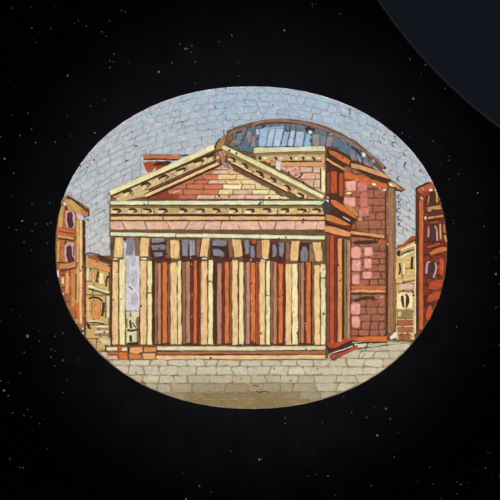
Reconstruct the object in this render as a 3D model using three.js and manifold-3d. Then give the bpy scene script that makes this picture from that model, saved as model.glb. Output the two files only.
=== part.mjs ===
// Oval glass mosaic of a domed temple with a columned porch, set flush in a slab of black stone.
// Millimetres. X runs right across the picture and Z up it; the polished face looks along -Y.
// The origin is on the slab's flat back, behind the middle of the oval.
import * as THREE from 'three';
import { mergeGeometries, mergeVertices } from 'three/addons/utils/BufferGeometryUtils.js';
import Module from 'manifold-3d';

// Stone slab, square but for one incurved corner
const slabWidth = 63;
const slabHeight = 63;
const slabThickness = 8;
const slabArris = 0.4;
const scoopAlongTop = 16.5;
const scoopAlongSide = 17.3;
const scoopRadius = 63;

// Oval sinking in the slab, a little squarer than an ellipse because it is cut by hand
const ovalWidth = 48;
const ovalHeight = 39.5;
const ovalSquareness = 2.1;
const ovalSteps = 72;

// Glass and the mastic that it is bedded in
const glassDepth = 2.2;
const bedThickness = 2.2;
const bedClearance = 0.05;
const joint = 0.12;
const jointDepth = 0.35;

// Porch front, from its lowest step up
const porchLeft = -17.25;
const porchWidth = 26.4;
const stepFoot = -13.6;
const stepRodHeight = 0.5;
const riserHeight = 0.6;
const stepOverhang = 0.45;
const shaftHeight = 10.75;
const capitalHeight = 2.35;
const architraveHeight = 1;
const architraveRod = 0.5;
const architraveFall = 0.45;
const friezeHeight = 1.2;
const filletHeight = 0.6;
const bracketHeight = 1.25;
const corniceHeight = 0.65;
const friezeTile = 2.45;
const bracketPitch = 1.8;

// Columns of the porch: two rods side by side under one capital tile
const columnCount = 8;
const columnWidth = 1.4;
const columnInset = 0.85;
const capitalWidth = 1.1;

// Pediment: sloping rods that frame rows of brackets and a tiled gable
const gableRise = 6.65;
const gablePeak = 13.75;
const gableHeel = 0.75;
const gableToe = 0.25;
const rakeRod = 0.6;
const rakeBrackets = 1.05;
const rakeFillet = 0.42;
const gableCourse = 0.95;
const gableTile = 3.4;

// Apex stone over the gable
const apexWidth = 0.75;
const apexHeight = 2.1;
const apexLean = 1.25;

// Block behind the porch and its side going back to the right
const atticHeight = 6.05;
const atticRise = 0.3;
const atticCornice = 0.55;
const atticWidth = 8.9;
const atticTile = 3.6;
const wallCourse = 1.35;
const wallTile = 2.8;
const flankWidth = 2.95;
const drumWidth = 4.3;
const drumEdge = 1;
const drumFoot = -10.8;
const drumCornice = 1.9;
const roofRod = 0.6;
const roofFall = 4.9;
const flankStep = 0.55;

// Dome
const domeRadius = 15.9;
const domeAcross = 3.76;
const domeUp = -0.23;
const domeRim = 0.36;
const domeLeftAngle = 115;
const domeRightAngle = 39;
const domeTile = 1.9;
const domeTileLength = 2.4;
const domeLean = 15;
const domeSteps = 16;

// Low roof that shows behind the gable's left slope
const lowRoofInset = 3.8;
const lowRoofWidth = 4.7;
const lowRoofFoot = 2.2;
const lowRoofTop = 5.5;

// Houses at both ends of the picture
const leftTowerWidth = 4.2;
const leftTowerGap = 3.1;
const leftTowerTop = 6.3;
const leftTowerFoot = -10;
const leftHouseWidth = 2.85;
const leftHouseTop = -0.8;
const leftHouseFoot = -12.65;
const rightHouseWidth = 2.4;
const rightHouseTop = 1.1;
const rightHouseFoot = -11.3;
const rightTowerWidth = 5;
const rightTowerTop = 8.2;
const rightTowerFoot = -11.05;
const houseCourse = 1.6;
const windowWidth = 0.85;
const windowHeight = 1.9;
const leftTowerWindows = [3.4, -0.8];
const leftHouseWindows = [-4, -7.6];
const rightHouseWindows = [-3, -6.6];
const rightTowerWindows = [1.7, -2.8];

// Ground and sky
const pavingTop = -11.4;
const pavingCourse = 0.96;
const pavingTile = 2.3;
const pavingTilesFused = 3;
const skyCourse = 0.95;
const skyTile = 1.5;
const skyTilesFused = 4;
const skyFoot = -0.95;

// What follows from the sizes above
const faceY = -slabThickness;
const glassBackY = faceY + glassDepth;
const sinkingFloorY = glassBackY + bedThickness;
const porchRight = porchLeft + porchWidth;
const lowerStepTop = stepFoot + stepRodHeight;
const riserTop = lowerStepTop + riserHeight;
const shaftFoot = riserTop + stepRodHeight;
const capitalFoot = shaftFoot + shaftHeight;
const capitalTop = capitalFoot + capitalHeight;
const friezeFoot = capitalTop + architraveHeight;
const filletFoot = friezeFoot + friezeHeight;
const bracketFoot = filletFoot + filletHeight;
const corniceFoot = bracketFoot + bracketHeight;
const corniceTop = corniceFoot + corniceHeight;
const peakX = porchLeft + gablePeak;
const peakZ = corniceTop + gableRise;
const columnPitch = (porchWidth - 2 * columnInset) / (columnCount - 1);
const flankRight = porchRight + flankWidth;
const drumRight = flankRight + drumWidth;
const hallRight = drumRight + drumEdge + joint;

const wasm = await Module();
wasm.setup();

function toSolid(geometry) {
  const bare = geometry.clone();
  bare.deleteAttribute('normal');
  bare.deleteAttribute('uv');
  const merged = mergeVertices(bare, 1e-4);
  const vertProperties = new Float32Array(merged.attributes.position.array);
  const triVerts = new Uint32Array(merged.index.array);
  return new wasm.Manifold(new wasm.Mesh({ numProp: 3, vertProperties, triVerts }));
}

function toGeometry(solid) {
  const mesh = solid.getMesh();
  const geometry = new THREE.BufferGeometry();
  geometry.setAttribute('position', new THREE.BufferAttribute(new Float32Array(mesh.vertProperties), 3));
  geometry.setIndex(new THREE.BufferAttribute(new Uint32Array(mesh.triVerts), 1));
  geometry.computeVertexNormals();
  return geometry;
}

// A flat outline in X and Z, carried forward from one depth to another
function prism(outline, backY, frontY) {
  const shape = new THREE.Shape(outline.map(([x, z]) => new THREE.Vector2(x, z)));
  const geometry = new THREE.ExtrudeGeometry(shape, { depth: backY - frontY, bevelEnabled: false });
  geometry.rotateX(Math.PI / 2);
  geometry.translate(0, backY, 0);
  return geometry;
}

function signedArea(outline) {
  let area = 0;
  outline.forEach(([x, z], i) => {
    const [nextX, nextZ] = outline[(i + 1) % outline.length];
    area += (x * nextZ - nextX * z) / 2;
  });
  return area;
}

// The outline moved outwards by a distance, or inwards when it is negative
function offsetOutline(outline, distance) {
  const ring = signedArea(outline) < 0 ? [...outline].reverse() : outline;
  return ring.map(([x, z], i) => {
    const [lastX, lastZ] = ring[(i + ring.length - 1) % ring.length];
    const [nextX, nextZ] = ring[(i + 1) % ring.length];
    const before = new THREE.Vector2(z - lastZ, lastX - x).normalize();
    const after = new THREE.Vector2(nextZ - z, x - nextX).normalize();
    const corner = before.clone().add(after);
    const reach = distance / Math.max(0.35, 1 + before.dot(after));
    return [x + corner.x * reach, z + corner.y * reach];
  });
}

function oval(clearance) {
  const outline = [];
  const power = 2 / ovalSquareness;
  for (let i = 0; i < ovalSteps; i += 1) {
    const angle = (i / ovalSteps) * Math.PI * 2;
    const across = Math.sign(Math.cos(angle)) * Math.abs(Math.cos(angle)) ** power;
    const up = Math.sign(Math.sin(angle)) * Math.abs(Math.sin(angle)) ** power;
    outline.push([across * (ovalWidth / 2 - clearance), up * (ovalHeight / 2 - clearance)]);
  }
  return outline;
}

function box(left, right, bottom, top) {
  return [[left, bottom], [right, bottom], [right, top], [left, top]];
}

// A straight glass rod between two points, cut square at its ends
function rod([startX, startZ], [endX, endZ], width) {
  const across = new THREE.Vector2(startZ - endZ, endX - startX).setLength(width / 2);
  return [
    [startX - across.x, startZ - across.y],
    [endX - across.x, endZ - across.y],
    [endX + across.x, endZ + across.y],
    [startX + across.x, startZ + across.y],
  ];
}

function turned(outline, degrees) {
  const centre = new THREE.Vector2(0, 0);
  const angle = THREE.MathUtils.degToRad(degrees);
  return outline.map(([x, z]) => new THREE.Vector2(x, z).rotateAround(centre, angle).toArray());
}

// Hand cut pieces differ in length, the same way each time
function cutLength(length, index) {
  const spread = Math.sin(index * 12.9898) * 43758.5453;
  return length * (0.85 + 0.3 * (spread - Math.floor(spread)));
}

// Rows of tiles with staggered joints, over a rectangle that may be turned about the origin
function courses([left, right, bottom, top], pitch, length, lean = 0) {
  const tiles = [];
  const rows = Math.ceil((top - bottom) / pitch);
  for (let row = 0; row < rows; row += 1) {
    let x = left - (row % 2) * length * 0.5;
    while (x < right) {
      const next = x + cutLength(length, row * 31 + tiles.length);
      const foot = bottom + row * pitch;
      const tile = box(x + joint / 2, next - joint / 2, foot + joint / 2, foot + pitch - joint / 2);
      tiles.push(turned(tile, lean));
      x = next;
    }
  }
  return tiles;
}

// Cutters reach past the faces that they cut
const overrun = 1;
const sinking = toSolid(prism(oval(joint), glassBackY + overrun, faceY - overrun));
const taken = [];

// One inlaid piece: its outline, less what is set before it, with its tiles parted by joints
function inlay(outline, tiles = null) {
  let solid = toSolid(prism(outline, glassBackY, faceY));
  if (tiles) {
    const spread = new THREE.Box2().setFromPoints(outline.map(([x, z]) => new THREE.Vector2(x, z)));
    spread.expandByScalar(overrun);
    const webOutline = box(spread.min.x, spread.max.x, spread.min.y, spread.max.y);
    const web = toSolid(prism(webOutline, glassBackY + overrun, faceY + jointDepth));
    const fronts = tiles.map((tile) => prism(tile, glassBackY, faceY - overrun));
    solid = solid.intersect(web.add(toSolid(mergeGeometries(fronts))));
  }
  solid = solid.intersect(sinking);
  for (const earlier of taken) solid = solid.subtract(earlier);
  return solid;
}

function reserve(outline) {
  taken.push(toSolid(prism(offsetOutline(outline, joint), glassBackY + overrun, faceY - overrun)));
}

const panel = new THREE.Group();

function piece(name, geometry, color, roughness) {
  const material = new THREE.MeshStandardMaterial({ color, roughness, metalness: 0 });
  const mesh = new THREE.Mesh(geometry, material);
  mesh.name = name;
  panel.add(mesh);
}

function setGlass(name, outline, color, tiles = null) {
  piece(name, toGeometry(inlay(outline, tiles)), color, 0.35);
  reserve(outline);
}

// Slab with its incurved corner and the oval sinking
function slabOutline() {
  const top = new THREE.Vector2(slabWidth / 2 - scoopAlongTop, slabHeight / 2);
  const side = new THREE.Vector2(slabWidth / 2, slabHeight / 2 - scoopAlongSide);
  const chord = top.clone().sub(side);
  const reach = Math.sqrt(scoopRadius ** 2 - (chord.length() / 2) ** 2);
  const outward = new THREE.Vector2(chord.y, -chord.x).setLength(reach);
  const centre = top.clone().add(side).multiplyScalar(0.5).add(outward);
  const start = side.clone().sub(centre).angle();
  const end = top.clone().sub(centre).angle();
  const shape = new THREE.Shape();
  shape.moveTo(-slabWidth / 2, -slabHeight / 2);
  shape.lineTo(slabWidth / 2, -slabHeight / 2);
  shape.lineTo(side.x, side.y);
  shape.absarc(centre.x, centre.y, scoopRadius, start, end, true);
  shape.lineTo(-slabWidth / 2, slabHeight / 2);
  return shape;
}

function slab() {
  const geometry = new THREE.ExtrudeGeometry(slabOutline(), {
    depth: slabThickness - 2 * slabArris,
    bevelThickness: slabArris,
    bevelSize: slabArris,
    bevelOffset: -slabArris,
    bevelSegments: 1,
    curveSegments: 10,
  });
  geometry.rotateX(Math.PI / 2);
  geometry.translate(0, -slabArris, 0);
  return toSolid(geometry).subtract(toSolid(prism(oval(0), sinkingFloorY, faceY - 1)));
}

piece('stone_slab', toGeometry(slab()), 0x0b0b0d, 0.12);
piece('mastic_bed', prism(oval(bedClearance), sinkingFloorY, glassBackY), 0xb7a888, 0.8);

// Horizontal members of the porch, from the cornice down
function span(name, bottom, top, color, tiles = null) {
  const outline = box(porchLeft, porchRight - joint, bottom + joint / 2, top - joint / 2);
  setGlass(name, outline, color, tiles);
}

function brackets(left, right, foot, top) {
  const count = Math.round((right - left) / bracketPitch);
  const pitch = (right - left) / count;
  const tiles = [];
  for (let i = 0; i < count; i += 1) {
    const footLeft = left + (i + 0.25) * pitch;
    const topLeft = left + (i + 0.1) * pitch;
    const width = pitch * 0.55;
    tiles.push([[footLeft, foot], [footLeft + width, foot], [topLeft + width, top], [topLeft, top]]);
  }
  return tiles;
}

span('cornice', corniceFoot, corniceTop, 0xdfe3b4);
span('bracket_course', bracketFoot, corniceFoot, 0x9c8450,
  brackets(porchLeft, porchRight, bracketFoot + 2 * joint, corniceFoot - 2 * joint));
span('orange_fillet', filletFoot, bracketFoot, 0xd38a50);
span('frieze', friezeFoot, filletFoot, 0xd7b29b,
  courses([porchLeft, porchRight, friezeFoot, filletFoot], friezeHeight, friezeTile));
const architraveMiddle = capitalTop + architraveHeight * 0.56;
setGlass('architrave', rod(
  [porchLeft, architraveMiddle],
  [porchRight - joint, architraveMiddle - architraveFall],
  architraveRod,
), 0xe2dfa4);

// Gable: each side has an outer rod, a row of brackets and an inner fillet
const gableEndLeft = [porchLeft, corniceTop + gableHeel];
const gableEndRight = [porchRight - joint, corniceTop + gableToe];
const peak = [peakX, peakZ];

function beside([startX, startZ], [endX, endZ], distance) {
  const across = new THREE.Vector2(endZ - startZ, startX - endX).setLength(distance);
  return [[startX + across.x, startZ + across.y], [endX + across.x, endZ + across.y]];
}

// The part of a sloping band that stands on the cornice
function bandOnCornice(start, end, width) {
  const outline = rod(start, end, width);
  const foot = corniceTop + joint;
  return outline.map(([x, z]) => {
    if (z >= foot) return [x, z];
    const slope = (end[1] - start[1]) / (end[0] - start[0]);
    return [x + (foot - z) / slope, foot];
  });
}

function slopingBrackets(start, end, width) {
  const length = Math.hypot(end[0] - start[0], end[1] - start[1]);
  const count = Math.round(length / bracketPitch);
  const tiles = [];
  for (let i = 0; i < count; i += 1) {
    const from = [0, 1].map((k) => start[k] + (end[k] - start[k]) * ((i + 0.2) / count));
    const to = [0, 1].map((k) => start[k] + (end[k] - start[k]) * ((i + 0.75) / count));
    tiles.push(rod(from, to, width - 2 * joint));
  }
  return tiles;
}

function rake(side, foot) {
  const [start, end] = side === 'left' ? [foot, peak] : [peak, foot];
  const apexSide = side === 'left' ? [-apexWidth, -apexWidth * 0.42] : [apexWidth, -apexWidth * 0.52];
  const top = [peak[0] + apexSide[0], peak[1] + apexSide[1]];
  const [outerStart, outerEnd] = side === 'left' ? [start, top] : [top, end];
  setGlass(`rake_rod_${side}`, rod(outerStart, outerEnd, rakeRod - joint), 0xddd59c);
  const bracketLine = beside(start, end, (rakeRod + rakeBrackets) / 2);
  const filletLine = beside(start, end, rakeRod / 2 + rakeBrackets + rakeFillet / 2);
  const bracketBand = bandOnCornice(...bracketLine, rakeBrackets - joint);
  const filletBand = bandOnCornice(...filletLine, rakeFillet - joint);
  return { bracketLine, bracketBand, filletBand };
}

setGlass('apex_stone', [
  [peak[0] - apexWidth * 1.2, peak[1] - 0.55],
  [peak[0] + apexWidth * 0.2, peak[1] - 0.45],
  [peak[0] + apexLean, peak[1] + apexHeight * 0.45],
  [peak[0] + apexLean * 0.85, peak[1] + apexHeight * 0.7],
  [peak[0] + apexLean * 0.4, peak[1] + apexHeight * 0.66],
  [peak[0] - apexWidth * 0.3, peak[1] + apexHeight * 0.25],
], 0x9a6a4a);

for (const side of ['left', 'right']) {
  const parts = rake(side, side === 'left' ? gableEndLeft : gableEndRight);
  setGlass(`rake_fillet_${side}`, parts.filletBand, 0xe4b183);
  setGlass(`rake_brackets_${side}`, parts.bracketBand, 0xa08a58,
    slopingBrackets(...parts.bracketLine, rakeBrackets));
}

const gableDrop = (rakeRod + rakeBrackets + rakeFillet) * 1.12;
const gable = [
  [porchLeft + gableDrop / 0.46 - 0.4, corniceTop + joint],
  [porchRight - gableDrop / 0.54, corniceTop + joint],
  [peakX, peakZ - gableDrop],
];
setGlass('gable_field', gable, 0xdba999,
  courses([porchLeft, porchRight, corniceTop, peakZ], gableCourse, gableTile));

// Columns and what shows between them
for (let i = 0; i < columnCount; i += 1) {
  const middle = porchLeft + columnInset + i * columnPitch;
  const left = middle - columnWidth / 2;
  const right = middle + columnWidth / 2;
  const fall = (architraveFall * (i + 1)) / columnCount;
  const head = capitalTop - fall - joint;
  const foot = shaftFoot + joint;
  const neck = capitalFoot - joint;
  const chamfer = capitalWidth * 0.2;
  const capital = [
    [middle - capitalWidth / 2, neck + joint],
    [middle + capitalWidth / 2, neck + joint],
    [middle + capitalWidth / 2, head - chamfer],
    [middle + capitalWidth / 2 - chamfer, head],
    [middle - capitalWidth / 2 + chamfer, head],
    [middle - capitalWidth / 2, head - chamfer],
  ];
  const shafts = [
    box(left, middle - joint / 2, foot, neck),
    box(middle + joint / 2, right, foot, neck),
  ];
  setGlass(`column_${i + 1}`, box(left, right, foot, head), 0xe6c48c, [capital, ...shafts]);
}

function bayBox(index) {
  const left = porchLeft + columnInset + index * columnPitch + columnWidth / 2 + joint;
  const right = left + columnPitch - columnWidth - 2 * joint;
  const fall = (architraveFall * (index + 1.5)) / columnCount;
  return [left, right, shaftFoot + joint, capitalTop - fall - joint];
}

const [openLeft, openRight, openFoot, openTop] = bayBox(0);
const farHouseTop = openFoot + shaftHeight * 0.4;
setGlass('far_house', box(openLeft, openRight, openFoot, farHouseTop), 0xb59a78,
  courses([openLeft, openRight, openFoot, farHouseTop], windowHeight, windowWidth));
setGlass('sky_between_columns', box(openLeft, openRight, farHouseTop + joint, openTop), 0xc9bfc0,
  courses([openLeft, openRight, farHouseTop + joint, openTop], skyCourse * 2, columnPitch * 2));

for (let i = 1; i < columnCount - 1; i += 1) {
  const [left, right, foot, top] = bayBox(i);
  const third = (right - left) / 3;
  const strips = [0, 1, 2].map((k) => (
    box(left + k * third + joint / 4, left + (k + 1) * third - joint / 4, foot, capitalFoot - joint)
  ));
  const head = box(left, right, capitalFoot + joint, top);
  setGlass(`bay_${i + 1}`, box(left, right, foot, top), 0xa85a3c, [...strips, head]);
}

// Steps in front
const stepLeft = porchLeft - stepOverhang;
const stepRight = porchRight - joint;
setGlass('upper_step', box(stepLeft, stepRight, riserTop + joint / 2, shaftFoot - joint / 2), 0xe8dcae);
setGlass('step_riser', box(porchLeft, stepRight, lowerStepTop + joint / 2, riserTop - joint), 0x8a5a3c);
setGlass('lower_step', box(porchLeft, stepRight, stepFoot, lowerStepTop - joint / 2), 0xe6bd8c);

// Side of the porch, seen at a slant
const flankFoot = stepFoot + 1.65;
const flankFall = flankWidth * 0.38;
const flankHead = capitalTop;
setGlass('flank_pier', [
  [porchRight + joint, flankFoot],
  [flankRight - joint, flankFoot + flankFall],
  [flankRight - joint, flankHead - joint],
  [porchRight + joint, flankHead - joint],
], 0xb9764a, [0, 1, 2, 3].map((k) => box(
  porchRight + (k * flankWidth) / 4 + joint / 2,
  porchRight + ((k + 1) * flankWidth) / 4 - joint / 2,
  flankFoot,
  flankHead,
)));
setGlass('flank_entablature', [
  [porchRight + joint, flankHead + joint],
  [flankRight, flankHead + joint],
  [flankRight, friezeFoot + friezeHeight * 0.5],
  [flankRight + 1.1, bracketFoot + joint],
  [porchRight + 0.9, corniceTop + 0.15],
  [porchRight + joint, corniceFoot + joint],
], 0xd08450, courses(
  [porchRight, flankRight + 2, flankHead, corniceTop + 2],
  filletHeight * 1.5,
  flankWidth * 2,
));

const flankStepLine = [
  [porchRight + 0.25, stepFoot + stepRodHeight + 0.45],
  [flankRight, flankFoot + flankFall - flankStep * 0.8],
];
setGlass('flank_upper_step', rod(...flankStepLine, flankStep), 0xb0402c);
setGlass('drum_step', box(
  flankRight + joint,
  drumRight + joint,
  drumFoot - flankStep,
  drumFoot - joint,
), 0xd98a50);
const lowerFlankStep = beside(...flankStepLine, flankStep * 1.7);
setGlass('flank_lower_step', rod(...lowerFlankStep, flankStep), 0xa83a2c);

// Attic block over the porch, its corner pier and the roof edge that runs back to the right
const atticLeft = porchRight - atticWidth;
const atticTop = corniceTop + atticHeight;
const atticEnd = [porchRight - joint, atticTop + atticRise];
setGlass('attic_cornice', rod([atticLeft, atticTop], atticEnd, atticCornice), 0xe4dfa6);
setGlass('attic_wall', [
  [atticLeft + 0.3, atticTop - atticCornice / 2 - joint],
  [porchRight - joint, atticTop + atticRise - atticCornice / 2 - joint],
  [porchRight - joint, corniceTop + rakeRod],
], 0xdda79a, courses([atticLeft, porchRight, corniceTop, atticTop], gableCourse, atticTile));

const roofStart = [porchRight + joint, atticTop - atticCornice / 2 - roofRod];
const roofEnd = [drumRight + 2.3, atticTop - roofFall];
setGlass('roof_edge', [
  [roofStart[0], roofStart[1] + 2 * roofRod],
  [roofStart[0] + 0.8, roofStart[1] + 2 * roofRod],
  [drumRight + 0.3, roofEnd[1] + 1.55],
  [roofEnd[0], roofEnd[1] + joint],
  [roofEnd[0] - 0.4, roofEnd[1] - joint],
  [drumRight, roofEnd[1] + 0.85],
  [flankRight, roofStart[1] - roofRod * 1.6],
  [roofStart[0], roofStart[1] - roofRod * 0.4],
], 0xd9a560, [
  rod([roofStart[0], roofStart[1] + roofRod], [roofEnd[0] - 1, roofEnd[1] + 1.6], roofRod),
  rod([roofStart[0], roofStart[1]], [roofEnd[0] - 1, roofEnd[1] + 0.6], roofRod * 0.7),
]);
const pierRight = flankRight - flankWidth * 0.3;
const pierSplit = porchRight + flankWidth * 0.3;
setGlass('corner_pier', box(porchRight + joint, pierRight, corniceFoot, roofStart[1] + joint), 0xb98464, [
  box(porchRight, pierSplit, corniceFoot, atticTop),
  box(pierSplit + joint, flankRight, corniceFoot, atticTop),
]);

// Round hall behind: two storeys of brickwork parted by a sloping cornice, and a shaded edge
setGlass('drum_cornice', rod(
  [flankRight + joint, drumCornice - 0.1],
  [drumRight - joint, drumCornice - 1],
  roofRod,
), 0xe6dcb0);
setGlass('drum_upper_wall', [
  [pierRight + joint, drumCornice],
  [drumRight, drumCornice - 1],
  [drumRight, roofEnd[1] + 0.85],
  [pierRight + joint, roofStart[1]],
], 0xc98d78, courses([pierRight, drumRight, drumCornice - 1, roofStart[1]], wallCourse, wallTile));
setGlass('drum_lower_wall', [
  [flankRight + joint, drumFoot],
  [drumRight, drumFoot],
  [drumRight, drumCornice - 1],
  [flankRight + joint, drumCornice],
], 0xb87a62, courses([flankRight, drumRight, drumFoot, drumCornice], wallCourse, wallTile));
setGlass('drum_shaded_edge', box(drumRight + joint, hallRight, drumFoot, roofEnd[1] + 0.5), 0xa98088,
  courses([drumRight, hallRight, drumFoot, roofEnd[1] + 1], wallCourse * 2, drumEdge * 4));

// Dome with its rim
function domePoint(radius, degrees) {
  const angle = THREE.MathUtils.degToRad(degrees);
  return [domeAcross + radius * Math.cos(angle), domeUp + radius * Math.sin(angle)];
}

function domeArc(radius, steps) {
  return Array.from({ length: steps + 1 }, (_, i) => (
    domePoint(radius, domeLeftAngle + ((domeRightAngle - domeLeftAngle) * i) / steps)
  ));
}

const rimOutline = [
  ...domeArc(domeRadius, domeSteps),
  ...domeArc(domeRadius - domeRim, domeSteps).reverse(),
];
setGlass('dome_rim', rimOutline, 0x8c6e69);
const domeOutline = [
  ...domeArc(domeRadius - domeRim / 2, domeSteps),
  [porchRight, atticTop - atticCornice],
  [peakX + apexLean * 0.6, peakZ - 0.6],
];
setGlass('dome', domeOutline, 0x9fb3c0,
  courses([0, 2 * domeRadius, 0, domeRadius], domeTileLength, domeTile, domeLean));

// Low roof behind the gable's left slope
const lowRoofLeft = porchLeft + lowRoofInset;
const lowRoofRight = lowRoofLeft + lowRoofWidth;
setGlass('roof_behind', [
  [lowRoofLeft, corniceTop + lowRoofTop],
  [lowRoofRight, corniceTop + lowRoofTop],
  [lowRoofRight, corniceTop + lowRoofTop * 0.75],
  [lowRoofLeft + joint, corniceTop + lowRoofFoot],
], 0xa8542f, courses(
  [lowRoofLeft, lowRoofRight, corniceTop + lowRoofFoot, corniceTop + lowRoofTop],
  riserHeight,
  friezeTile * 2,
));

// Houses
function house(name, outline, [windowX, windowZs], color) {
  const reach = (k, pick) => pick(...outline.map((point) => point[k]));
  const left = reach(0, Math.min);
  const right = reach(0, Math.max);
  const bottom = reach(1, Math.min);
  const top = reach(1, Math.max);
  const windows = windowZs.map((z) => (
    box(windowX - windowWidth / 2, windowX + windowWidth / 2, z - windowHeight / 2, z + windowHeight / 2)
  ));
  const clear = (tile) => windowZs.every((z) => {
    const middle = (tile[0][1] + tile[2][1]) / 2;
    return Math.abs(middle - z) > windowHeight / 2 + houseCourse / 2;
  });
  const rows = courses([left, right, bottom, top], houseCourse, (right - left) * 2).filter(clear);
  const jambs = windowZs.flatMap((z) => [
    box(left, windowX - windowWidth / 2 - joint, z - windowHeight / 2, z + windowHeight / 2),
    box(windowX + windowWidth / 2 + joint, right, z - windowHeight / 2, z + windowHeight / 2),
  ]);
  setGlass(name, outline, color, [...rows, ...windows, ...jambs]);
}

const leftTowerRight = porchLeft - leftTowerGap;
const leftTowerLeft = leftTowerRight - leftTowerWidth;
house('left_tower', [
  [leftTowerLeft, leftTowerTop],
  [leftTowerLeft + 2.15, leftTowerTop],
  [leftTowerRight + 0.5, leftTowerTop - 1.6],
  [leftTowerRight + 0.5, leftTowerTop - 2.4],
  [leftTowerRight, leftTowerTop - 2.5],
  [leftTowerRight, leftTowerFoot],
  [leftTowerLeft, leftTowerFoot],
], [leftTowerRight - 1.9, leftTowerWindows], 0xc98240);

const leftHouseLeft = leftTowerRight + joint;
house('left_house', [
  [leftHouseLeft, leftHouseTop],
  [leftHouseLeft + leftHouseWidth, leftHouseTop - 0.95],
  [leftHouseLeft + leftHouseWidth, leftHouseFoot],
  [leftHouseLeft, leftHouseFoot],
], [leftHouseLeft + 1.5, leftHouseWindows], 0xcfa766);

const rightHouseLeft = hallRight + joint;
const rightHouseRight = rightHouseLeft + rightHouseWidth;
house('right_house', [
  [rightHouseLeft, rightHouseTop - 1.3],
  [rightHouseRight, rightHouseTop],
  [rightHouseRight, rightHouseFoot],
  [rightHouseLeft, rightHouseFoot],
], [rightHouseLeft + 1.1, rightHouseWindows], 0xc9b478);

house('right_tower', [
  [rightHouseRight + joint, rightTowerTop - 1.05],
  [rightHouseRight + 2.2, rightTowerTop],
  [rightHouseRight + rightTowerWidth, rightTowerTop - 1.2],
  [rightHouseRight + rightTowerWidth, rightTowerFoot],
  [rightHouseRight + joint, rightTowerFoot],
], [rightHouseRight + 1.75, rightTowerWindows], 0xa8502a);

// Paving and sky fill what is left of the oval
reserve(box(leftHouseLeft + leftHouseWidth, porchRight + joint, stepFoot + joint, pavingTop + joint));
reserve([
  [porchRight, stepFoot + stepRodHeight],
  [flankRight, flankFoot + flankFall - flankStep],
  [flankRight, flankFoot + flankFall],
  [porchRight, flankFoot],
]);
setGlass('paving', box(-ovalWidth / 2, ovalWidth / 2, -ovalHeight / 2, pavingTop), 0xc2b592, courses(
  [-ovalWidth / 2, ovalWidth / 2, -ovalHeight / 2, pavingTop],
  pavingCourse,
  pavingTile * pavingTilesFused,
));

reserve([
  [porchLeft + joint, skyFoot - 1],
  [porchLeft + joint, gableEndLeft[1]],
  peak,
  [peakX + apexLean, peakZ + apexHeight * 0.4],
  domePoint(domeRadius - domeRim, domeLeftAngle - 3),
  domePoint(domeRadius - domeRim, domeRightAngle),
  [roofEnd[0] - 0.3, roofEnd[1]],
  [hallRight - joint, roofEnd[1]],
  [hallRight - joint, skyFoot - 1],
]);
setGlass('sky', box(-ovalWidth / 2, ovalWidth / 2, skyFoot, ovalHeight / 2), 0xb4b6bc,
  courses([-ovalWidth / 2, ovalWidth / 2, skyFoot, ovalHeight / 2], skyCourse, skyTile * skyTilesFused));

export default panel;
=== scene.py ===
"""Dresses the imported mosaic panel: cut and drawn glass set in mastic, in a slab of polished black stone."""
import math
import random

import bmesh
import bpy
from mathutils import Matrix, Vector, noise


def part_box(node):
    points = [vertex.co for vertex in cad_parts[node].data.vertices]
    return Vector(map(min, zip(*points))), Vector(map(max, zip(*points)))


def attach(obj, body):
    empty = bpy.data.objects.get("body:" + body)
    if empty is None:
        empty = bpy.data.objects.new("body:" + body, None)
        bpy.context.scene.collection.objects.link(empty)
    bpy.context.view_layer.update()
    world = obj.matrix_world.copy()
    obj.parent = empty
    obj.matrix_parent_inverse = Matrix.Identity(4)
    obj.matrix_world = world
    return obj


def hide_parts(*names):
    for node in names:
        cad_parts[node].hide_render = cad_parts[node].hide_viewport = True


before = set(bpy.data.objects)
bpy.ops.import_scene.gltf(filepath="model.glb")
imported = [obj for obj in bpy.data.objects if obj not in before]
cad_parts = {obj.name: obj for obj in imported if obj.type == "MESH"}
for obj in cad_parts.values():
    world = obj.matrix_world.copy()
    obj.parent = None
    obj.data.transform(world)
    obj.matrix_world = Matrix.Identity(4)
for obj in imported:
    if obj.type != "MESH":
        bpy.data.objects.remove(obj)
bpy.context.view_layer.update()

# The noise that wavers the edges of the glass starts from the clock unless it is given a start.
NOISE_START = 7
noise.seed_set(NOISE_START)

bl_info = {
    "name": "Mosaic Panel",
    "version": (1, 0, 0),
    "blender": (4, 5, 0),
    "location": "View3D > Sidebar > Mosaic Panel",
    "description": "Sets the glass of a small mosaic in its mastic and finishes the stone round it",
    "category": "Add Mesh",
}

MM = 0.001
# Levels, in millimetres. The stone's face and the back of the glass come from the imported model.
STONE_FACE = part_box("stone_slab")[0][1] / MM
GLASS_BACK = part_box("sky")[1][1] / MM
# The glass lies in thin layers, and the top one is sunk a little behind the stone's face.
SUNK = 0.03
LAYER = 0.012
LAYERS = 4
# The mastic's surface behind the stone's face, its bed behind that, and its rise round pale glass.
MASTIC_SUNK = 0.13
BED_SUNK = 0.05
PALE_RISE = 0.03
# The worn arris of each piece, the rim where residue gathers and shade is painted, and the joint between two
# drawn rods.
ARRIS = 0.025
SHADE_AND_RESIDUE_RIM = 0.09
THIN = 0.04
# Edges are split and merged to these lengths, and slivers under the least width are left out.
LONGEST_EDGE = 0.75
SHORTEST_EDGE = 0.1
LEAST_WIDTH = 0.12
# A plain piece fills this share of its own box, and its rim takes this share at most of its width.
FILLED = 0.7
RIM_SHARE = 0.24
# Grime over the whole of a piece that isn't plain.
FAINT_GRIME = 0.3
# Corners sharper than this are rounded, in degrees, and edges waver about so often in a millimetre.
ROUNDED = 150
WAVES = 1.7


def linear(value):
    """A channel of 0 to 255, as it shows on a screen, as linear light."""
    value /= 255
    return value / 12.92 if value <= 0.04045 else ((value + 0.055) / 1.055) ** 2.4


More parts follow.
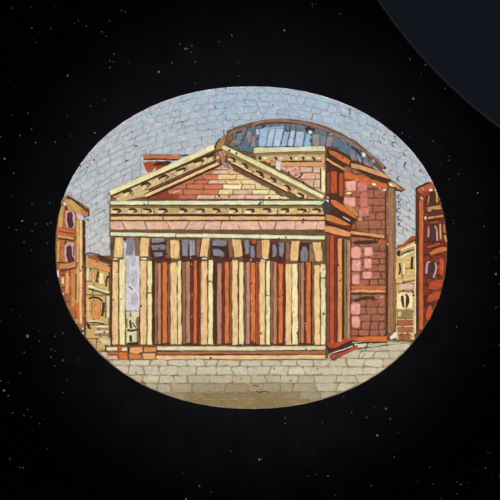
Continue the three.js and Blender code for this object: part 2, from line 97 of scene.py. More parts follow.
def tint(name, description, red, green, blue):
    """A colour property with its default given as it shows on a screen."""
    return bpy.props.FloatVectorProperty(
        name=name, description=description, subtype="COLOR", size=3, min=0.0, max=1.0,
        default=(linear(red), linear(green), linear(blue)))


def length(name, description, millimetres):
    """A length property, kept in metres."""
    return bpy.props.FloatProperty(
        name=name, description=description, unit="LENGTH", min=0.0, precision=5,
        default=millimetres * MM)


class MosaicSizes(bpy.types.PropertyGroup):
    """Sizes that the glass is cut and set to"""
    sky_course: length("Sky course", "Height of a row of cut pieces in the sky", 0.82)
    sky_piece: length("Sky piece", "Length of a cut piece in the sky", 1.38)
    paving_course: length("Paving course", "Height of a row of cut pieces in the paving", 0.98)
    paving_piece: length("Paving piece", "Length of a cut piece in the paving", 2.2)
    brick_course: length("Brick course", "Height of a row of cut pieces in the hall", 1.25)
    brick_piece: length("Brick piece", "Length of a cut piece in the hall", 1.35)
    joint: length("Joint", "Width of mastic between two pieces", 0.12)
    sky_joint: length("Sky joint", "Width of mastic between two pieces of the sky", 0.06)
    paving_joint: length("Paving joint", "Width of mastic between two pieces of the paving", 0.08)
    rod_piece: length("Rod piece", "Length of a drawn rod before the next one starts", 6.5)


class MosaicColours(bpy.types.PropertyGroup):
    """Colours of the glass, the mastic and the stone"""
    cream: tint("Cream", "Cornices, pale green yellow", 226, 226, 184)
    ivory: tint("Ivory", "Rod of the upper step", 234, 214, 172)
    straw: tint("Straw", "Sloping cornices of the gable", 226, 217, 162)
    yellow: tint("Yellow", "Light half of each column", 240, 222, 164)
    peach: tint("Peach", "Warm half of each column", 234, 192, 136)
    capital: tint("Capital", "Column heads", 230, 188, 126)
    tan: tint("Tan", "Ground of the brackets", 206, 174, 122)
    ochre: tint("Ochre", "Small houses", 203, 162, 94)
    amber: tint("Amber", "Rods of the left tower", 205, 157, 86)
    apricot: tint("Apricot", "Pale orange rods", 222, 158, 102)
    apricot_deep: tint("Deep apricot", "Orange rods in shade", 212, 144, 86)
    orange: tint("Orange", "Drawn rods of the side", 205, 110, 52)
    rust: tint("Rust", "Darker rods of the side", 184, 78, 36)
    red: tint("Red", "Red tiles of the gable", 158, 62, 38)
    red_bright: tint("Bright red", "Roofs and steps", 184, 72, 40)
    coral: tint("Coral", "Rosy orange tiles of the gable", 200, 116, 80)
    coral_pink: tint("Coral pink", "Rosy tiles of the wall", 204, 122, 110)
    pink: tint("Pink", "Lit tiles of the wall", 226, 158, 142)
    blush: tint("Blush", "Pale pink of the gable and attic", 225, 180, 152)
    wine: tint("Wine", "Deep red rods", 114, 42, 26)
    maroon: tint("Maroon", "Deep shade", 80, 38, 30)
    umber: tint("Umber", "Drawn lines of shade", 66, 35, 14)
    pit: tint("Pit", "Holes where the glass has gone", 44, 40, 36)
    glassy: tint("Glassy", "Nearly black glass", 66, 60, 62)
    olive: tint("Olive", "Shade under the cornices", 142, 116, 70)
    brown: tint("Brown", "Back of the porch", 142, 96, 68)
    rose: tint("Rose", "Mid tone of the porch", 188, 128, 100)
    mauve: tint("Mauve", "Shaded edge of the hall", 162, 110, 80)
    plum: tint("Plum", "Purple brown rods", 128, 70, 58)
    plum_dark: tint("Dark plum", "Window glass", 78, 38, 44)
    brick: tint("Brick", "Wall of the hall", 160, 99, 72)
    slate: tint("Slate", "Grey pieces between the column heads", 132, 126, 134)
    lilac_grey: tint("Lilac grey", "Paler grey pieces", 156, 148, 158)
    lilac: tint("Lilac", "Window jambs", 204, 158, 152)
    # White: chips of bare mastic, and also painted glints, white highlights on the grey glassy pieces of the
    # bays and along the side's cornice.
    white: tint("White", "Chips of bare mastic", 232, 226, 216)
    sky_white: tint("Sky white", "Sky between the columns", 212, 207, 214)
    sky_blue: tint("Sky blue", "Upper sky", 167, 186, 203)
    sky_grey: tint("Sky grey", "Middle sky", 184, 188, 192)
    sky_lilac: tint("Sky lilac", "Lower sky", 201, 197, 192)
    paving_pale: tint("Paving", "Lit paving", 202, 192, 164)
    paving_ochre: tint("Dark paving", "Front of the paving", 138, 115, 75)
    dome_light: tint("Dome light", "Lit glass of the dome", 150, 175, 199)
    dome_pale: tint("Dome pale", "Palest glass of the dome", 171, 191, 210)
    dome_blue: tint("Dome blue", "Bright blue glass of the dome", 130, 174, 205)
    dome_teal: tint("Dome teal", "Left of the dome", 88, 114, 128)
    dome_grey: tint("Dome grey", "Right of the dome", 122, 122, 134)
    dome_pale_grey: tint("Dome pale grey", "Pale chips at the right of the dome", 160, 162, 170)
    dome_mauve: tint("Dome mauve", "Rosy glass of the dome", 150, 132, 140)
    dome_edge: tint("Dome rim", "Rim of the dome", 146, 114, 106)
    pale_mastic: tint("Pale mastic", "Joints of the sky", 176, 177, 176)
    rim_mastic: tint("Rim mastic", "Mastic between the sky and the stone", 212, 208, 216)
    sand_mastic: tint("Sand mastic", "Joints of the paving", 150, 134, 104)
    warm_mastic: tint("Warm mastic", "Joints of the porch", 108, 78, 44)
    rosy_mastic: tint("Rosy mastic", "Joints of the gable's field", 146, 104, 76)
    wall_mastic: tint("Wall mastic", "Joints of the hall", 112, 58, 38)
    dark_mastic: tint("Dark mastic", "Joints of the houses and the side", 78, 42, 22)
    # The colour that the edges of pale pieces darken to: polish residue and painted shade.
    residue: tint("Residue", "Polish left at the edges of pale pieces", 112, 116, 118)
    # The stone's face shows this colour where the painted glow round the middle is fullest, and a
    # twenty-fifth of it further out.
    stone: tint("Stone", "Polished black stone", 18, 18, 20)
    dust: tint("Dust", "Dust on the stone", 190, 190, 196)


def sizes():
    """The sizes set in the panel."""
    return bpy.context.scene.mosaic_sizes


def colour(name):
    """A colour by its name, by two names and a share of the second, or as it is."""
    if isinstance(name, str):
        return tuple(getattr(bpy.context.scene.mosaic_colours, name))
    return mixed(*name) if isinstance(name[0], str) else tuple(name)


def mixed(first, second, share):
    """One colour with a share of a second."""
    share = min(max(share, 0.0), 1.0)
    pairs = zip(colour(first), colour(second))
    return tuple(a + (b - a) * share for a, b in pairs)


# Laying out and cutting the glass


def box_of(node):
    """Left, right, bottom and top of a node, in millimetres."""
    low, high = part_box(node)
    return low[0] / MM, high[0] / MM, low[2] / MM, high[2] / MM


def footprint(node):
    """A node's outline, from the back of its CAD solid, as flat faces in millimetres facing the viewer."""
    bm = bmesh.new()
    bm.from_mesh(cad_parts[node].data)
    bmesh.ops.scale(bm, vec=(1 / MM,) * 3, verts=bm.verts)
    bmesh.ops.remove_doubles(bm, verts=bm.verts, dist=0.0005)
    back = max(vert.co.y for vert in bm.verts)
    others = [face for face in bm.faces if min(vert.co.y for vert in face.verts) < back - 0.01]
    bmesh.ops.delete(bm, geom=others, context="FACES")
    bmesh.ops.dissolve_faces(bm, faces=bm.faces[:])
    bmesh.ops.dissolve_limit(bm, angle_limit=0.02, verts=bm.verts[:], edges=bm.edges[:])
    bmesh.ops.translate(bm, vec=(0, -back, 0), verts=bm.verts)
    bmesh.ops.reverse_faces(bm, faces=bm.faces[:])
    return bm


def cut(bm, faces, point, direction):
    """Cuts some flat faces by a line and returns the faces that come of it."""
    geom = set(faces)
    for face in faces:
        geom.update(face.edges)
        geom.update(face.verts)
    normal = (-direction[1], 0, direction[0])
    result = bmesh.ops.bisect_plane(
        bm, geom=list(geom), dist=0.0001, plane_co=(point[0], 0, point[1]), plane_no=normal)
    return [item for item in result["geom"] if isinstance(item, bmesh.types.BMFace)]


def band(points, width, end_width=None):
    """The outline of a drawn rod along a line of points."""
    end_width = width if end_width is None else end_width
    one, other = [], []
    last = len(points) - 1
    for index, point in enumerate(points):
        before = Vector(points[max(index - 1, 0)])
        after = Vector(points[min(index + 1, last)])
        run = (after - before).normalized()
        half = (width + (end_width - width) * index / last) / 2
        side = Vector((-run.y, run.x)) * half
        here = Vector(point)
        one.append(tuple(here + side))
        other.append(tuple(here - side))
    return one + other[::-1]


def arc(middle, radii, start, end, steps=6):
    """Points round part of an ellipse, from one angle to another, in degrees."""
    points = []
    for step in range(steps + 1):
        angle = math.radians(start + (end - start) * step / steps)
        points.append((middle[0] + radii[0] * math.cos(angle), middle[1] + radii[1] * math.sin(angle)))
    return points


class Tray:
    """Glass for one area of the picture: laid out flat, then cut to depth in one go."""

    def __init__(self, seed):
        self.bm = bmesh.new()
        self.glass = self.bm.verts.layers.float_color.new("glass")
        self.grain = self.bm.verts.layers.float_vector.new("grain")
        self.set_close = self.bm.faces.layers.int.new("set_close")
        self.number = self.bm.faces.layers.int.new("number")
        self.pieces = []
        self.seed = seed
        self.random = random.Random(seed)

    def shade(self, name, vary):
        """A colour with the chance difference of one piece of glass from the next."""
        light = 1 + self.random.gauss(0, vary)
        warm = self.random.gauss(0, vary / 3)
        red, green, blue = colour(name)
        return red * light * (1 + warm), green * light, blue * light * (1 - warm)

    def piece(self, outline, name, level=0, along=None, vary=0.06, close=False):
        """Lays one piece: its corners, its colour, its layer over the others and the run of its grain."""
        # A hair's breadth between pieces of one level, so that no two faces lie in one plane.
        proud = level + (len(self.pieces) % 9) / 10 + self.seed % 10 / 100
        face_y = STONE_FACE + SUNK + LAYERS * LAYER - proud * LAYER
        verts = [self.bm.verts.new((x, face_y, z)) for x, z in outline]
        face = self.bm.faces.new(verts)
        face.normal_update()
        if face.normal.y > 0:
            face.normal_flip()
        face[self.set_close] = 1 if close else 0
        if along is None:
            first, second = max(
                ((a, b) for a, b in zip(outline, outline[1:] + outline[:1])),
                key=lambda pair: math.dist(*pair))
            along = (second[0] - first[0], second[1] - first[1])
        face[self.number] = len(self.pieces)
        shift = self.random.uniform(0, 50)
        self.pieces.append((self.shade(name, vary), Vector(along).normalized(), shift))

    def block(self, corner, opposite, name, level=0, vary=0.06, close=False, along=None):
        """Lays an upright piece between two opposite corners."""
        left, right = sorted((corner[0], opposite[0]))
        low, high = sorted((corner[1], opposite[1]))
        outline = [(left, low), (right, low), (right, high), (left, high)]
        self.piece(outline, name, level, along, vary, close)

    def rod(self, points, width, name, level=1, vary=0.05, end_width=None):
        """Lays a drawn rod along a line of points."""
        self.piece(band(points, width, end_width), name, level, None, vary)

    def flecks(self, count, names, least, most, level=1):
        """Scatters small chips and holes over the corners of the pieces laid so far."""
        corners = [(vert.co.x, vert.co.z) for vert in self.bm.verts]
        for place in self.random.sample(corners, count):
            size = self.random.uniform(least, most)
            turn = self.random.uniform(0, 360)
            flat = size * self.random.uniform(0.4, 0.9)
            self.piece(arc(place, (size, flat), turn, turn + 290, 5), self.random.choice(names), level)

    def field(self, node, name, height=None, piece=None, tilt=0.0, bend=0.0, slant=0.12,
              vary=0.06, loose=0.22, level=0):
        """Fills a node's outline with courses. name is a colour, or gives one for a place.
        tilt turns the courses, in degrees, and bend is the radius that they arch to."""
        bm = footprint(node)
        turn = math.radians(tilt)
        cos, sin = math.cos(turn), math.sin(turn)
        long_edges = [edge for edge in bm.edges if edge.calc_length() > 2 * LONGEST_EDGE]
        if bend:
            for edge in long_edges:
                cuts = int(edge.calc_length() / LONGEST_EDGE)
                bmesh.ops.bisect_edges(bm, edges=[edge], cuts=cuts)
        for vert in bm.verts:
            x, z = vert.co.x, vert.co.z
            x, z = x * cos + z * sin, z * cos - x * sin
            if bend:
                z += x * x / (2 * bend)
            vert.co.x, vert.co.z = x, z
        low = min(vert.co.z for vert in bm.verts)
        high = max(vert.co.z for vert in bm.verts)
        rows = 1
        if height:
            rows = max(1, round((high - low) / height))
            height = (high - low) / rows
            for row in range(1, rows):
                rise = self.random.uniform(-1, 1) * 0.008
                point = (0, low + row * height + self.random.uniform(-0.1, 0.1) * height)
                cut(bm, bm.faces[:], point, (1, rise))
        else:
            height = high - low
        courses = {}
        for face in bm.faces:
            row = int((face.calc_center_median().z - low) / height)
            courses.setdefault(row, []).append(face)
        for row in sorted(courses):
            faces = courses[row]
            start = min(vert.co.x for face in faces for vert in face.verts)
            end = max(vert.co.x for face in faces for vert in face.verts)
            place = start
            if piece:
                place += piece * self.random.uniform(0.35, 1.0)
            while piece and place < end - piece * 0.35:
                lean = self.random.gauss(0, slant)
                reach = 0.5 * height * abs(lean) + 0.01
                crossed = [
                    face for face in faces
                    if min(v.co.x for v in face.verts) < place - reach
                    and max(v.co.x for v in face.verts) > place + reach]
                if crossed:
                    kept = [face for face in faces if face not in crossed]
                    middle = low + (row + 0.5) * height
                    faces = kept + cut(bm, crossed, (place, middle), (lean, 1))
                place += piece * self.random.uniform(1 - loose, 1 + loose)
        for vert in bm.verts:
            x, z = vert.co.x, vert.co.z
            if bend:
                z -= x * x / (2 * bend)
            vert.co.x, vert.co.z = x * cos - z * sin, z * cos + x * sin
        for face in sorted(bm.faces, key=lambda f: (f.calc_center_median().z, f.calc_center_median().x)):
            if 2 * face.calc_area() / face.calc_perimeter() < LEAST_WIDTH:
                continue
            middle = face.calc_center_median()
            shade = name(middle.x, middle.z) if callable(name) else name
            outline = [(vert.co.x, vert.co.z) for vert in face.verts]
            slope = (1, -middle.x / bend) if bend else (cos, sin)
            self.piece(outline, shade, level, slope, vary, True)
        bm.free()

    def cut_to_depth(self, title, nodes, glass, joint=None, wobble=0.03, rounding=14):
        """Cuts every piece apart, gives it uneven edges, round corners, a worn arris and its depth."""
        bm = self.bm
        joint = joint or sizes().joint / MM
        close = [face for face in bm.faces if face[self.set_close]]
        if close:
            rims = bmesh.ops.inset_individual(bm, faces=close, thickness=joint / 2)["faces"]
            bmesh.ops.delete(bm, geom=rims, context="FACES")
        bmesh.ops.dissolve_degenerate(bm, dist=SHORTEST_EDGE, edges=bm.edges[:])
        lengths = {}
        for edge in bm.edges:
            cuts = int(edge.calc_length() / LONGEST_EDGE)
            if cuts:
                lengths.setdefault(cuts, []).append(edge)
        for cuts, edges in lengths.items():
            bmesh.ops.bisect_edges(bm, edges=edges, cuts=cuts)
        corners = []
        for face in bm.faces:
            for loop in face.loops:
                if loop.calc_angle() < math.radians(ROUNDED):
                    corners.append(loop.vert)
        for face in bm.faces:
            own = Vector((0, self.pieces[face[self.number]][2], 0))
            for vert in face.verts:
                shift = noise.noise_vector(vert.co * WAVES + own)
                vert.co.x += shift.x * wobble * 2
                vert.co.z += shift.z * wobble * 2
        bmesh.ops.bevel(
            bm, geom=corners, offset=rounding, offset_type="PERCENT", segments=2, profile=0.5,
            affect="VERTICES", clamp_overlap=True, material=-1)
        bmesh.ops.dissolve_degenerate(bm, dist=ARRIS * 2, edges=bm.edges[:])
        back = bm.faces[:]
        for face in back:
            face.normal_update()
            if face.normal.y > 0:
                face.normal_flip()
            shade, run, shift = self.pieces[face[self.number]]
            for vert in face.verts:
                place = Vector((vert.co.x, vert.co.z))
                vert[self.glass] = (*shade, 1)
                vert[self.grain] = (place.dot(run), place.cross(run), shift)
        raised = bmesh.ops.extrude_face_region(bm, geom=back, use_keep_orig=True)["geom"]
        front = [item for item in raised if isinstance(item, bmesh.types.BMFace)]
        for face in back:
            for vert in face.verts:
                vert.co.y = GLASS_BACK
        bmesh.ops.inset_individual(bm, faces=front, thickness=ARRIS, depth=ARRIS)
        bmesh.ops.inset_individual(bm, faces=front, thickness=0.001)
        for face in front:
            middle = face.calc_center_median_weighted()
            run = self.pieces[face[self.number]][1]
            along, across = Vector((run.x, 0, run.y)), Vector((-run.y, 0, run.x))
            spans = []
            for way in (along, across):
                reach = [way.dot(vert.co) for vert in face.verts]
                spans.append(max(reach) - min(reach))
            # A plain piece gets a rim that the shader darkens towards its edges: polish residue and painted
            # shade.
            plain = face.calc_area() > FILLED * spans[0] * spans[1]
            rim = min(SHADE_AND_RESIDUE_RIM, RIM_SHARE * min(spans)) if plain else 0.0
            for vert in face.verts:
                for way, span in zip((along, across), spans):
                    vert.co -= way * way.dot(vert.co - middle) * 2 * rim / span
                red, green, blue, _ = vert[self.glass]
                vert[self.glass] = (red, green, blue, 0 if plain else FAINT_GRIME)
        bmesh.ops.scale(bm, vec=(MM,) * 3, verts=bm.verts)
        return put(bm, title, nodes, glass)


def lay(tray, *items):
    """Lays pieces in turn, each a colour, a level, a rod's width if it is a rod, and its points."""
    for name, level, *points in items:
        if isinstance(points[0], tuple):
            tray.piece(points, name, level)
        else:
            tray.rod(points[1:], points[0], name, level)


def put(bm, title, nodes, material):
    """Makes a finished mesh one piece of the scene, in the place of its nodes."""
    mesh = bpy.data.meshes.new(title)
    bm.to_mesh(mesh)
    bm.free()
    mesh.materials.append(material)
    item = bpy.data.objects.new(title, mesh)
    bpy.context.scene.collection.objects.link(item)
    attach(item, "root")
    if nodes:
        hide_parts(*nodes)
    return item


# Materials


class Shader:
    """Makes and joins the nodes of one tree."""

    def __init__(self, tree):
        self.tree = tree

    def feed(self, socket, value):
        """Joins a socket to another, or gives it a plain value."""
        if isinstance(value, bpy.types.NodeSocket):
            self.tree.links.new(value, socket)
        else:
            socket.default_value = value

    def node(self, kind, settings=None, **values):
        """Adds a node, its settings by their own names and its inputs by name, or as n and a number."""
        item = self.tree.nodes.new(kind)
        for key, value in (settings or {}).items():
            setattr(item, key, value)
        for key, value in values.items():
            number = key[0] == "n" and key[1:].isdigit()
            self.feed(item.inputs[int(key[1:]) if number else key], value)
        return item

    def noise(self, vector, scale, detail=3.0, roughness=0.5):
        """A noise value."""
        return self.node(
            "ShaderNodeTexNoise", Vector=vector, Scale=scale, Detail=detail,
            Roughness=roughness).outputs["Fac"]

    def sum(self, operation, *values):
        """Two values brought together by a Math node."""
        item = self.node("ShaderNodeMath", {"operation": operation})
        for socket, value in zip(item.inputs, values):
            self.feed(socket, value)
        return item.outputs[0]

    def span(self, value, low, high, to_low=0.0, to_high=1.0):
        """A value brought from one span to another, softly and held at both ends."""
        item = self.node("ShaderNodeMapRange", {"interpolation_type": "SMOOTHSTEP"})
        for socket, given in zip(item.inputs, (value, low, high, to_low, to_high)):
            self.feed(socket, given)
        return item.outputs[0]

    def blend(self, share, first, second, kind="MIX"):
        """Two colours mixed."""
        item = self.node("ShaderNodeMix", {"data_type": "RGBA", "blend_type": kind})
        for socket, given in zip((item.inputs[0], item.inputs[6], item.inputs[7]), (share, first, second)):
            self.feed(socket, (*given[:3], 1) if isinstance(given, tuple) else given)
        return item.outputs[2]

    def stretched(self, vector, scale):
        """A vector with its parts stretched."""
        item = self.node("ShaderNodeVectorMath", {"operation": "MULTIPLY"}, n0=vector, n1=scale)
        return item.outputs[0]


def group(title, inputs, outputs, build):
    """A shared effect as a node group, built once."""
    if title in bpy.data.node_groups:
        return bpy.data.node_groups[title]
    tree = bpy.data.node_groups.new(title, "ShaderNodeTree")
    for name, kind, default in inputs:
        socket = tree.interface.new_socket(name, in_out="INPUT", socket_type=kind)
        if default is not None:
            socket.default_value = default
    for name, kind in outputs:
        tree.interface.new_socket(name, in_out="OUTPUT", socket_type=kind)
    start = tree.nodes.new("NodeGroupInput")
    end = tree.nodes.new("NodeGroupOutput")
    build(Shader(tree), start.outputs, end.inputs)
    return tree


def placed(shader, tree, **values):
    """A shared effect set into a material."""
    item = shader.node("ShaderNodeGroup", {"node_tree": tree})
    for key, value in values.items():
        shader.feed(item.inputs[key], value)
    return item.outputs


def build_figure(shader, given, out):
    """Glass figure: clouding inside each piece, streaks along a drawn rod and fine grain."""
    cloud = shader.noise(given["Grain"], 1.3, 2.0)
    streaks = shader.noise(shader.stretched(given["Grain"], (0.18, 2.6, 1.0)), 2.2, 3.0, 0.6)
    speck = shader.noise(given["Grain"], 6.5, 2.0, 0.7)
    mottle = shader.node("ShaderNodeTexNoise", Vector=given["Grain"], Scale=1.9, Detail=3.0, Roughness=0.6)
    light = shader.sum("MULTIPLY", shader.sum("SUBTRACT", cloud, 0.5), given["Clouding"])
    drawn = shader.sum("MULTIPLY", shader.sum("SUBTRACT", streaks, 0.5), given["Streaks"])
    grain = shader.sum("MULTIPLY", shader.sum("SUBTRACT", speck, 0.5), given["Grit"])
    total = shader.sum("ADD", shader.sum("ADD", light, drawn), grain)
    value = shader.sum("ADD", total, 1.0)
    tone = shader.node("ShaderNodeHueSaturation", Value=value, Color=given["Colour"])
    tinged = shader.blend(given["Tinge"], tone.outputs[0], mottle.outputs["Color"], "OVERLAY")
    shader.tree.links.new(tinged, out["Colour"])
    height = shader.sum("ADD", shader.sum("MULTIPLY", streaks, 0.6), shader.sum("MULTIPLY", speck, 0.4))
    shader.tree.links.new(height, out["Height"])


def build_residue_and_shade(shader, given, out):
    """Residue and painted shade: dark polish residue and painted shade at the edges of each piece, and
    residue in its pits.
    """
    place = shader.node("ShaderNodeTexCoord").outputs["Object"]
    patches = shader.noise(place, 900.0, 3.0, 0.65)
    broken = shader.span(patches, 0.32, 0.62, 0.25, 1.0)
    edge = shader.sum("MULTIPLY", given["Edge"], broken)
    edge = shader.sum("MULTIPLY", edge, given["Amount"])
    cells = shader.node("ShaderNodeTexVoronoi", Vector=place, Scale=1100.0)
    rare = shader.noise(place, 330.0, 2.0)
    pit = shader.span(cells.outputs["Distance"], 0.1, 0.24, 1.0, 0.0)
    pit = shader.sum("MULTIPLY", pit, shader.span(rare, 0.52, 0.6))
    pit = shader.sum("MULTIPLY", pit, given["Pits"])
    dirt_and_shade = shader.sum("MAXIMUM", edge, pit)
    shaded = shader.blend(dirt_and_shade, given["Colour"], given["Residue"])
    shader.tree.links.new(shaded, out["Colour"])
    shader.tree.links.new(pit, out["Pit"])
    shader.tree.links.new(shader.span(dirt_and_shade, 0.0, 1.0, 0.0, 1.0), out["Dirt"])


def figure_group():
    """The shared glass figure."""
    inputs = (
        ("Colour", "NodeSocketColor", None), ("Grain", "NodeSocketVector", None),
        ("Clouding", "NodeSocketFloat", 0.2), ("Streaks", "NodeSocketFloat", 0.2),
        ("Grit", "NodeSocketFloat", 0.2), ("Tinge", "NodeSocketFloat", 0.3))
    outputs = (("Colour", "NodeSocketColor"), ("Height", "NodeSocketFloat"))
    return group("glass_figure", inputs, outputs, build_figure)


def residue_and_shade_group():
    """The shared residue and painted edge shade."""
    inputs = (
        ("Colour", "NodeSocketColor", None), ("Residue", "NodeSocketColor", None),
        ("Edge", "NodeSocketFloat", 0.0), ("Amount", "NodeSocketFloat", 0.6),
        ("Pits", "NodeSocketFloat", 1.0))
    outputs = (
        ("Colour", "NodeSocketColor"), ("Pit", "NodeSocketFloat"), ("Dirt", "NodeSocketFloat"))
    return group("polish_grime", inputs, outputs, build_residue_and_shade)


def material(title):
    """An empty node material with its shader and output."""
    item = bpy.data.materials.new(title)
    item.use_nodes = True
    item.node_tree.nodes.clear()
    shader = Shader(item.node_tree)
    surface = shader.node("ShaderNodeBsdfPrincipled")
    output = shader.node("ShaderNodeOutputMaterial")
    item.node_tree.links.new(surface.outputs["BSDF"], output.inputs["Surface"])
    return item, shader, surface


def glass_material(title, residue, clouding, streaks, grit, edge, tinge, gloss=0.38, pits=1.0):
    """Opaque glass, ground flush: its colour and grain come with each piece."""
    if title in bpy.data.materials:
        return bpy.data.materials[title]
    item, shader, surface = material(title)
    glass = shader.node("ShaderNodeAttribute", {"attribute_name": "glass"})
    grain = shader.node("ShaderNodeAttribute", {"attribute_name": "grain"})
    figure = placed(
        shader, figure_group(), Colour=glass.outputs["Color"], Grain=grain.outputs["Vector"],
        Clouding=clouding, Streaks=streaks, Grit=grit, Tinge=tinge)
    # Each piece darkens towards its edges to the residue colour: polish residue and painted shade.
    residue_and_shade = placed(
        shader, residue_and_shade_group(), Colour=figure["Colour"], Residue=(*colour(residue), 1),
        Edge=glass.outputs["Alpha"], Amount=edge, Pits=pits)
    links = item.node_tree.links
    links.new(residue_and_shade["Colour"], surface.inputs["Base Color"])
    place = shader.node("ShaderNodeTexCoord").outputs["Object"]
    rubbed = shader.noise(place, 1600.0, 3.0)
    rough = shader.span(rubbed, 0.3, 0.7, gloss, gloss + 0.2)
    rough = shader.sum("ADD", rough, shader.sum("MULTIPLY", residue_and_shade["Dirt"], 0.3))
    links.new(rough, surface.inputs["Roughness"])
    height = shader.sum("SUBTRACT", figure["Height"], shader.sum("MULTIPLY", residue_and_shade["Pit"], 3.0))
    bump = shader.node("ShaderNodeBump", Strength=0.35, Distance=0.00002, Height=height)
    links.new(bump.outputs["Normal"], surface.inputs["Normal"])
    surface.inputs["IOR"].default_value = 1.42
    surface.inputs["Specular IOR Level"].default_value = 0.4
    return item


def drawn_glass():
    """Drawn rods: streaked along their length."""
    return glass_material("drawn_glass", "umber", 0.6, 1.1, 0.8, 0.62, 0.35)


def cut_glass():
    """Cut pieces of the gable and the dome: cloudy."""
    return glass_material("cut_glass", "umber", 0.7, 0.3, 0.7, 0.55, 0.4)


def wall_glass():
    """Cut pieces of the hall: cloudy, with soft rusty edges."""
    return glass_material("wall_glass", "wall_mastic", 0.8, 0.2, 0.8, 0.6, 0.35)


def bay_glass():
    """Strips at the back of the porch: streaked and rubbed."""
    return glass_material("strip_glass", "umber", 0.6, 1.2, 0.9, 0.6, 0.35)


def sky_glass():
    """Cut pieces of the sky: pale, with grey edges here and there."""
    return glass_material("pale_cut_glass", "residue", 0.42, 0.1, 0.6, 0.26, 0.5, 0.4, 0.7)


def paving_glass():
    """Cut pieces of the paving: pale, with olive edges."""
    return glass_material("paving_cut_glass", "olive", 0.42, 0.15, 0.5, 0.45, 0.35, 0.4)


def mastic_material():
    """Mastic: matte, granular, with pits."""
    title = "ground_mastic"
    if title in bpy.data.materials:
        return bpy.data.materials[title]
    item, shader, surface = material(title)
    given = shader.node("ShaderNodeAttribute", {"attribute_name": "glass"})
    place = shader.node("ShaderNodeTexCoord").outputs["Object"]
    grains = shader.noise(place, 3200.0, 4.0, 0.7)
    patches = shader.noise(place, 620.0, 3.0, 0.6)
    tone = shader.node(
        "ShaderNodeHueSaturation", Color=given.outputs["Color"],
        Value=shader.span(grains, 0.25, 0.75, 0.72, 1.25))
    deep = shader.node("ShaderNodeHueSaturation", Color=given.outputs["Color"], Value=0.35)
    hole = shader.span(patches, 0.57, 0.68)
    holed = shader.blend(shader.sum("MULTIPLY", hole, 0.8), tone.outputs[0], deep.outputs[0])
    pale = shader.span(patches, 0.48, 0.34, 0.0, 0.8)
    light = shader.node("ShaderNodeHueSaturation", Color=given.outputs["Color"], Value=1.6)
    bare = shader.blend(pale, holed, light.outputs[0])
    links = item.node_tree.links
    links.new(bare, surface.inputs["Base Color"])
    surface.inputs["Roughness"].default_value = 0.85
    height = shader.sum("SUBTRACT", grains, shader.sum("MULTIPLY", hole, 2.0))
    bump = shader.node("ShaderNodeBump", Strength=0.6, Distance=0.00004, Height=height)
    links.new(bump.outputs["Normal"], surface.inputs["Normal"])
    return item


# Specks of dust: cells to the metre, the share of cells with none, their greatest size, their strength.
SPECKS = ((480.0, 0.93, 0.1, 0.5), (900.0, 0.86, 0.12, 0.3), (2100.0, 0.88, 0.2, 0.14))


def build_dust(shader, given, out):
    """Dust: grains of three sizes, thicker in some places."""
    bend = shader.node("ShaderNodeTexNoise", Vector=given["Place"], Scale=4200.0, Detail=2.0)
    push = shader.node(
        "ShaderNodeVectorMath", {"operation": "SCALE"}, n0=bend.outputs["Color"], Scale=0.00022)
    place = shader.node(
        "ShaderNodeVectorMath", {"operation": "ADD"}, n0=given["Place"], n1=push.outputs[0])
    thick = shader.noise(given["Place"], 85.0, 2.0)
    total = None
    for scale, rare, size, strength in SPECKS:
        cells = shader.node("ShaderNodeTexVoronoi", Vector=place.outputs[0], Scale=scale)
        chance = shader.node("ShaderNodeSeparateColor", n0=cells.outputs["Color"])
        lot = shader.sum("ADD", chance.outputs[0], shader.span(thick, 0.35, 0.65, -0.12, 0.12))
        reach = shader.span(lot, rare, 1.05, 0.0, size)
        speck = shader.sum("LESS_THAN", cells.outputs["Distance"], reach)
        speck = shader.sum("MULTIPLY", speck, shader.span(chance.outputs[1], 0.0, 1.0, 0.15, strength))
        total = speck if total is None else shader.sum("MAXIMUM", total, speck)
    shader.tree.links.new(total, out["Dust"])


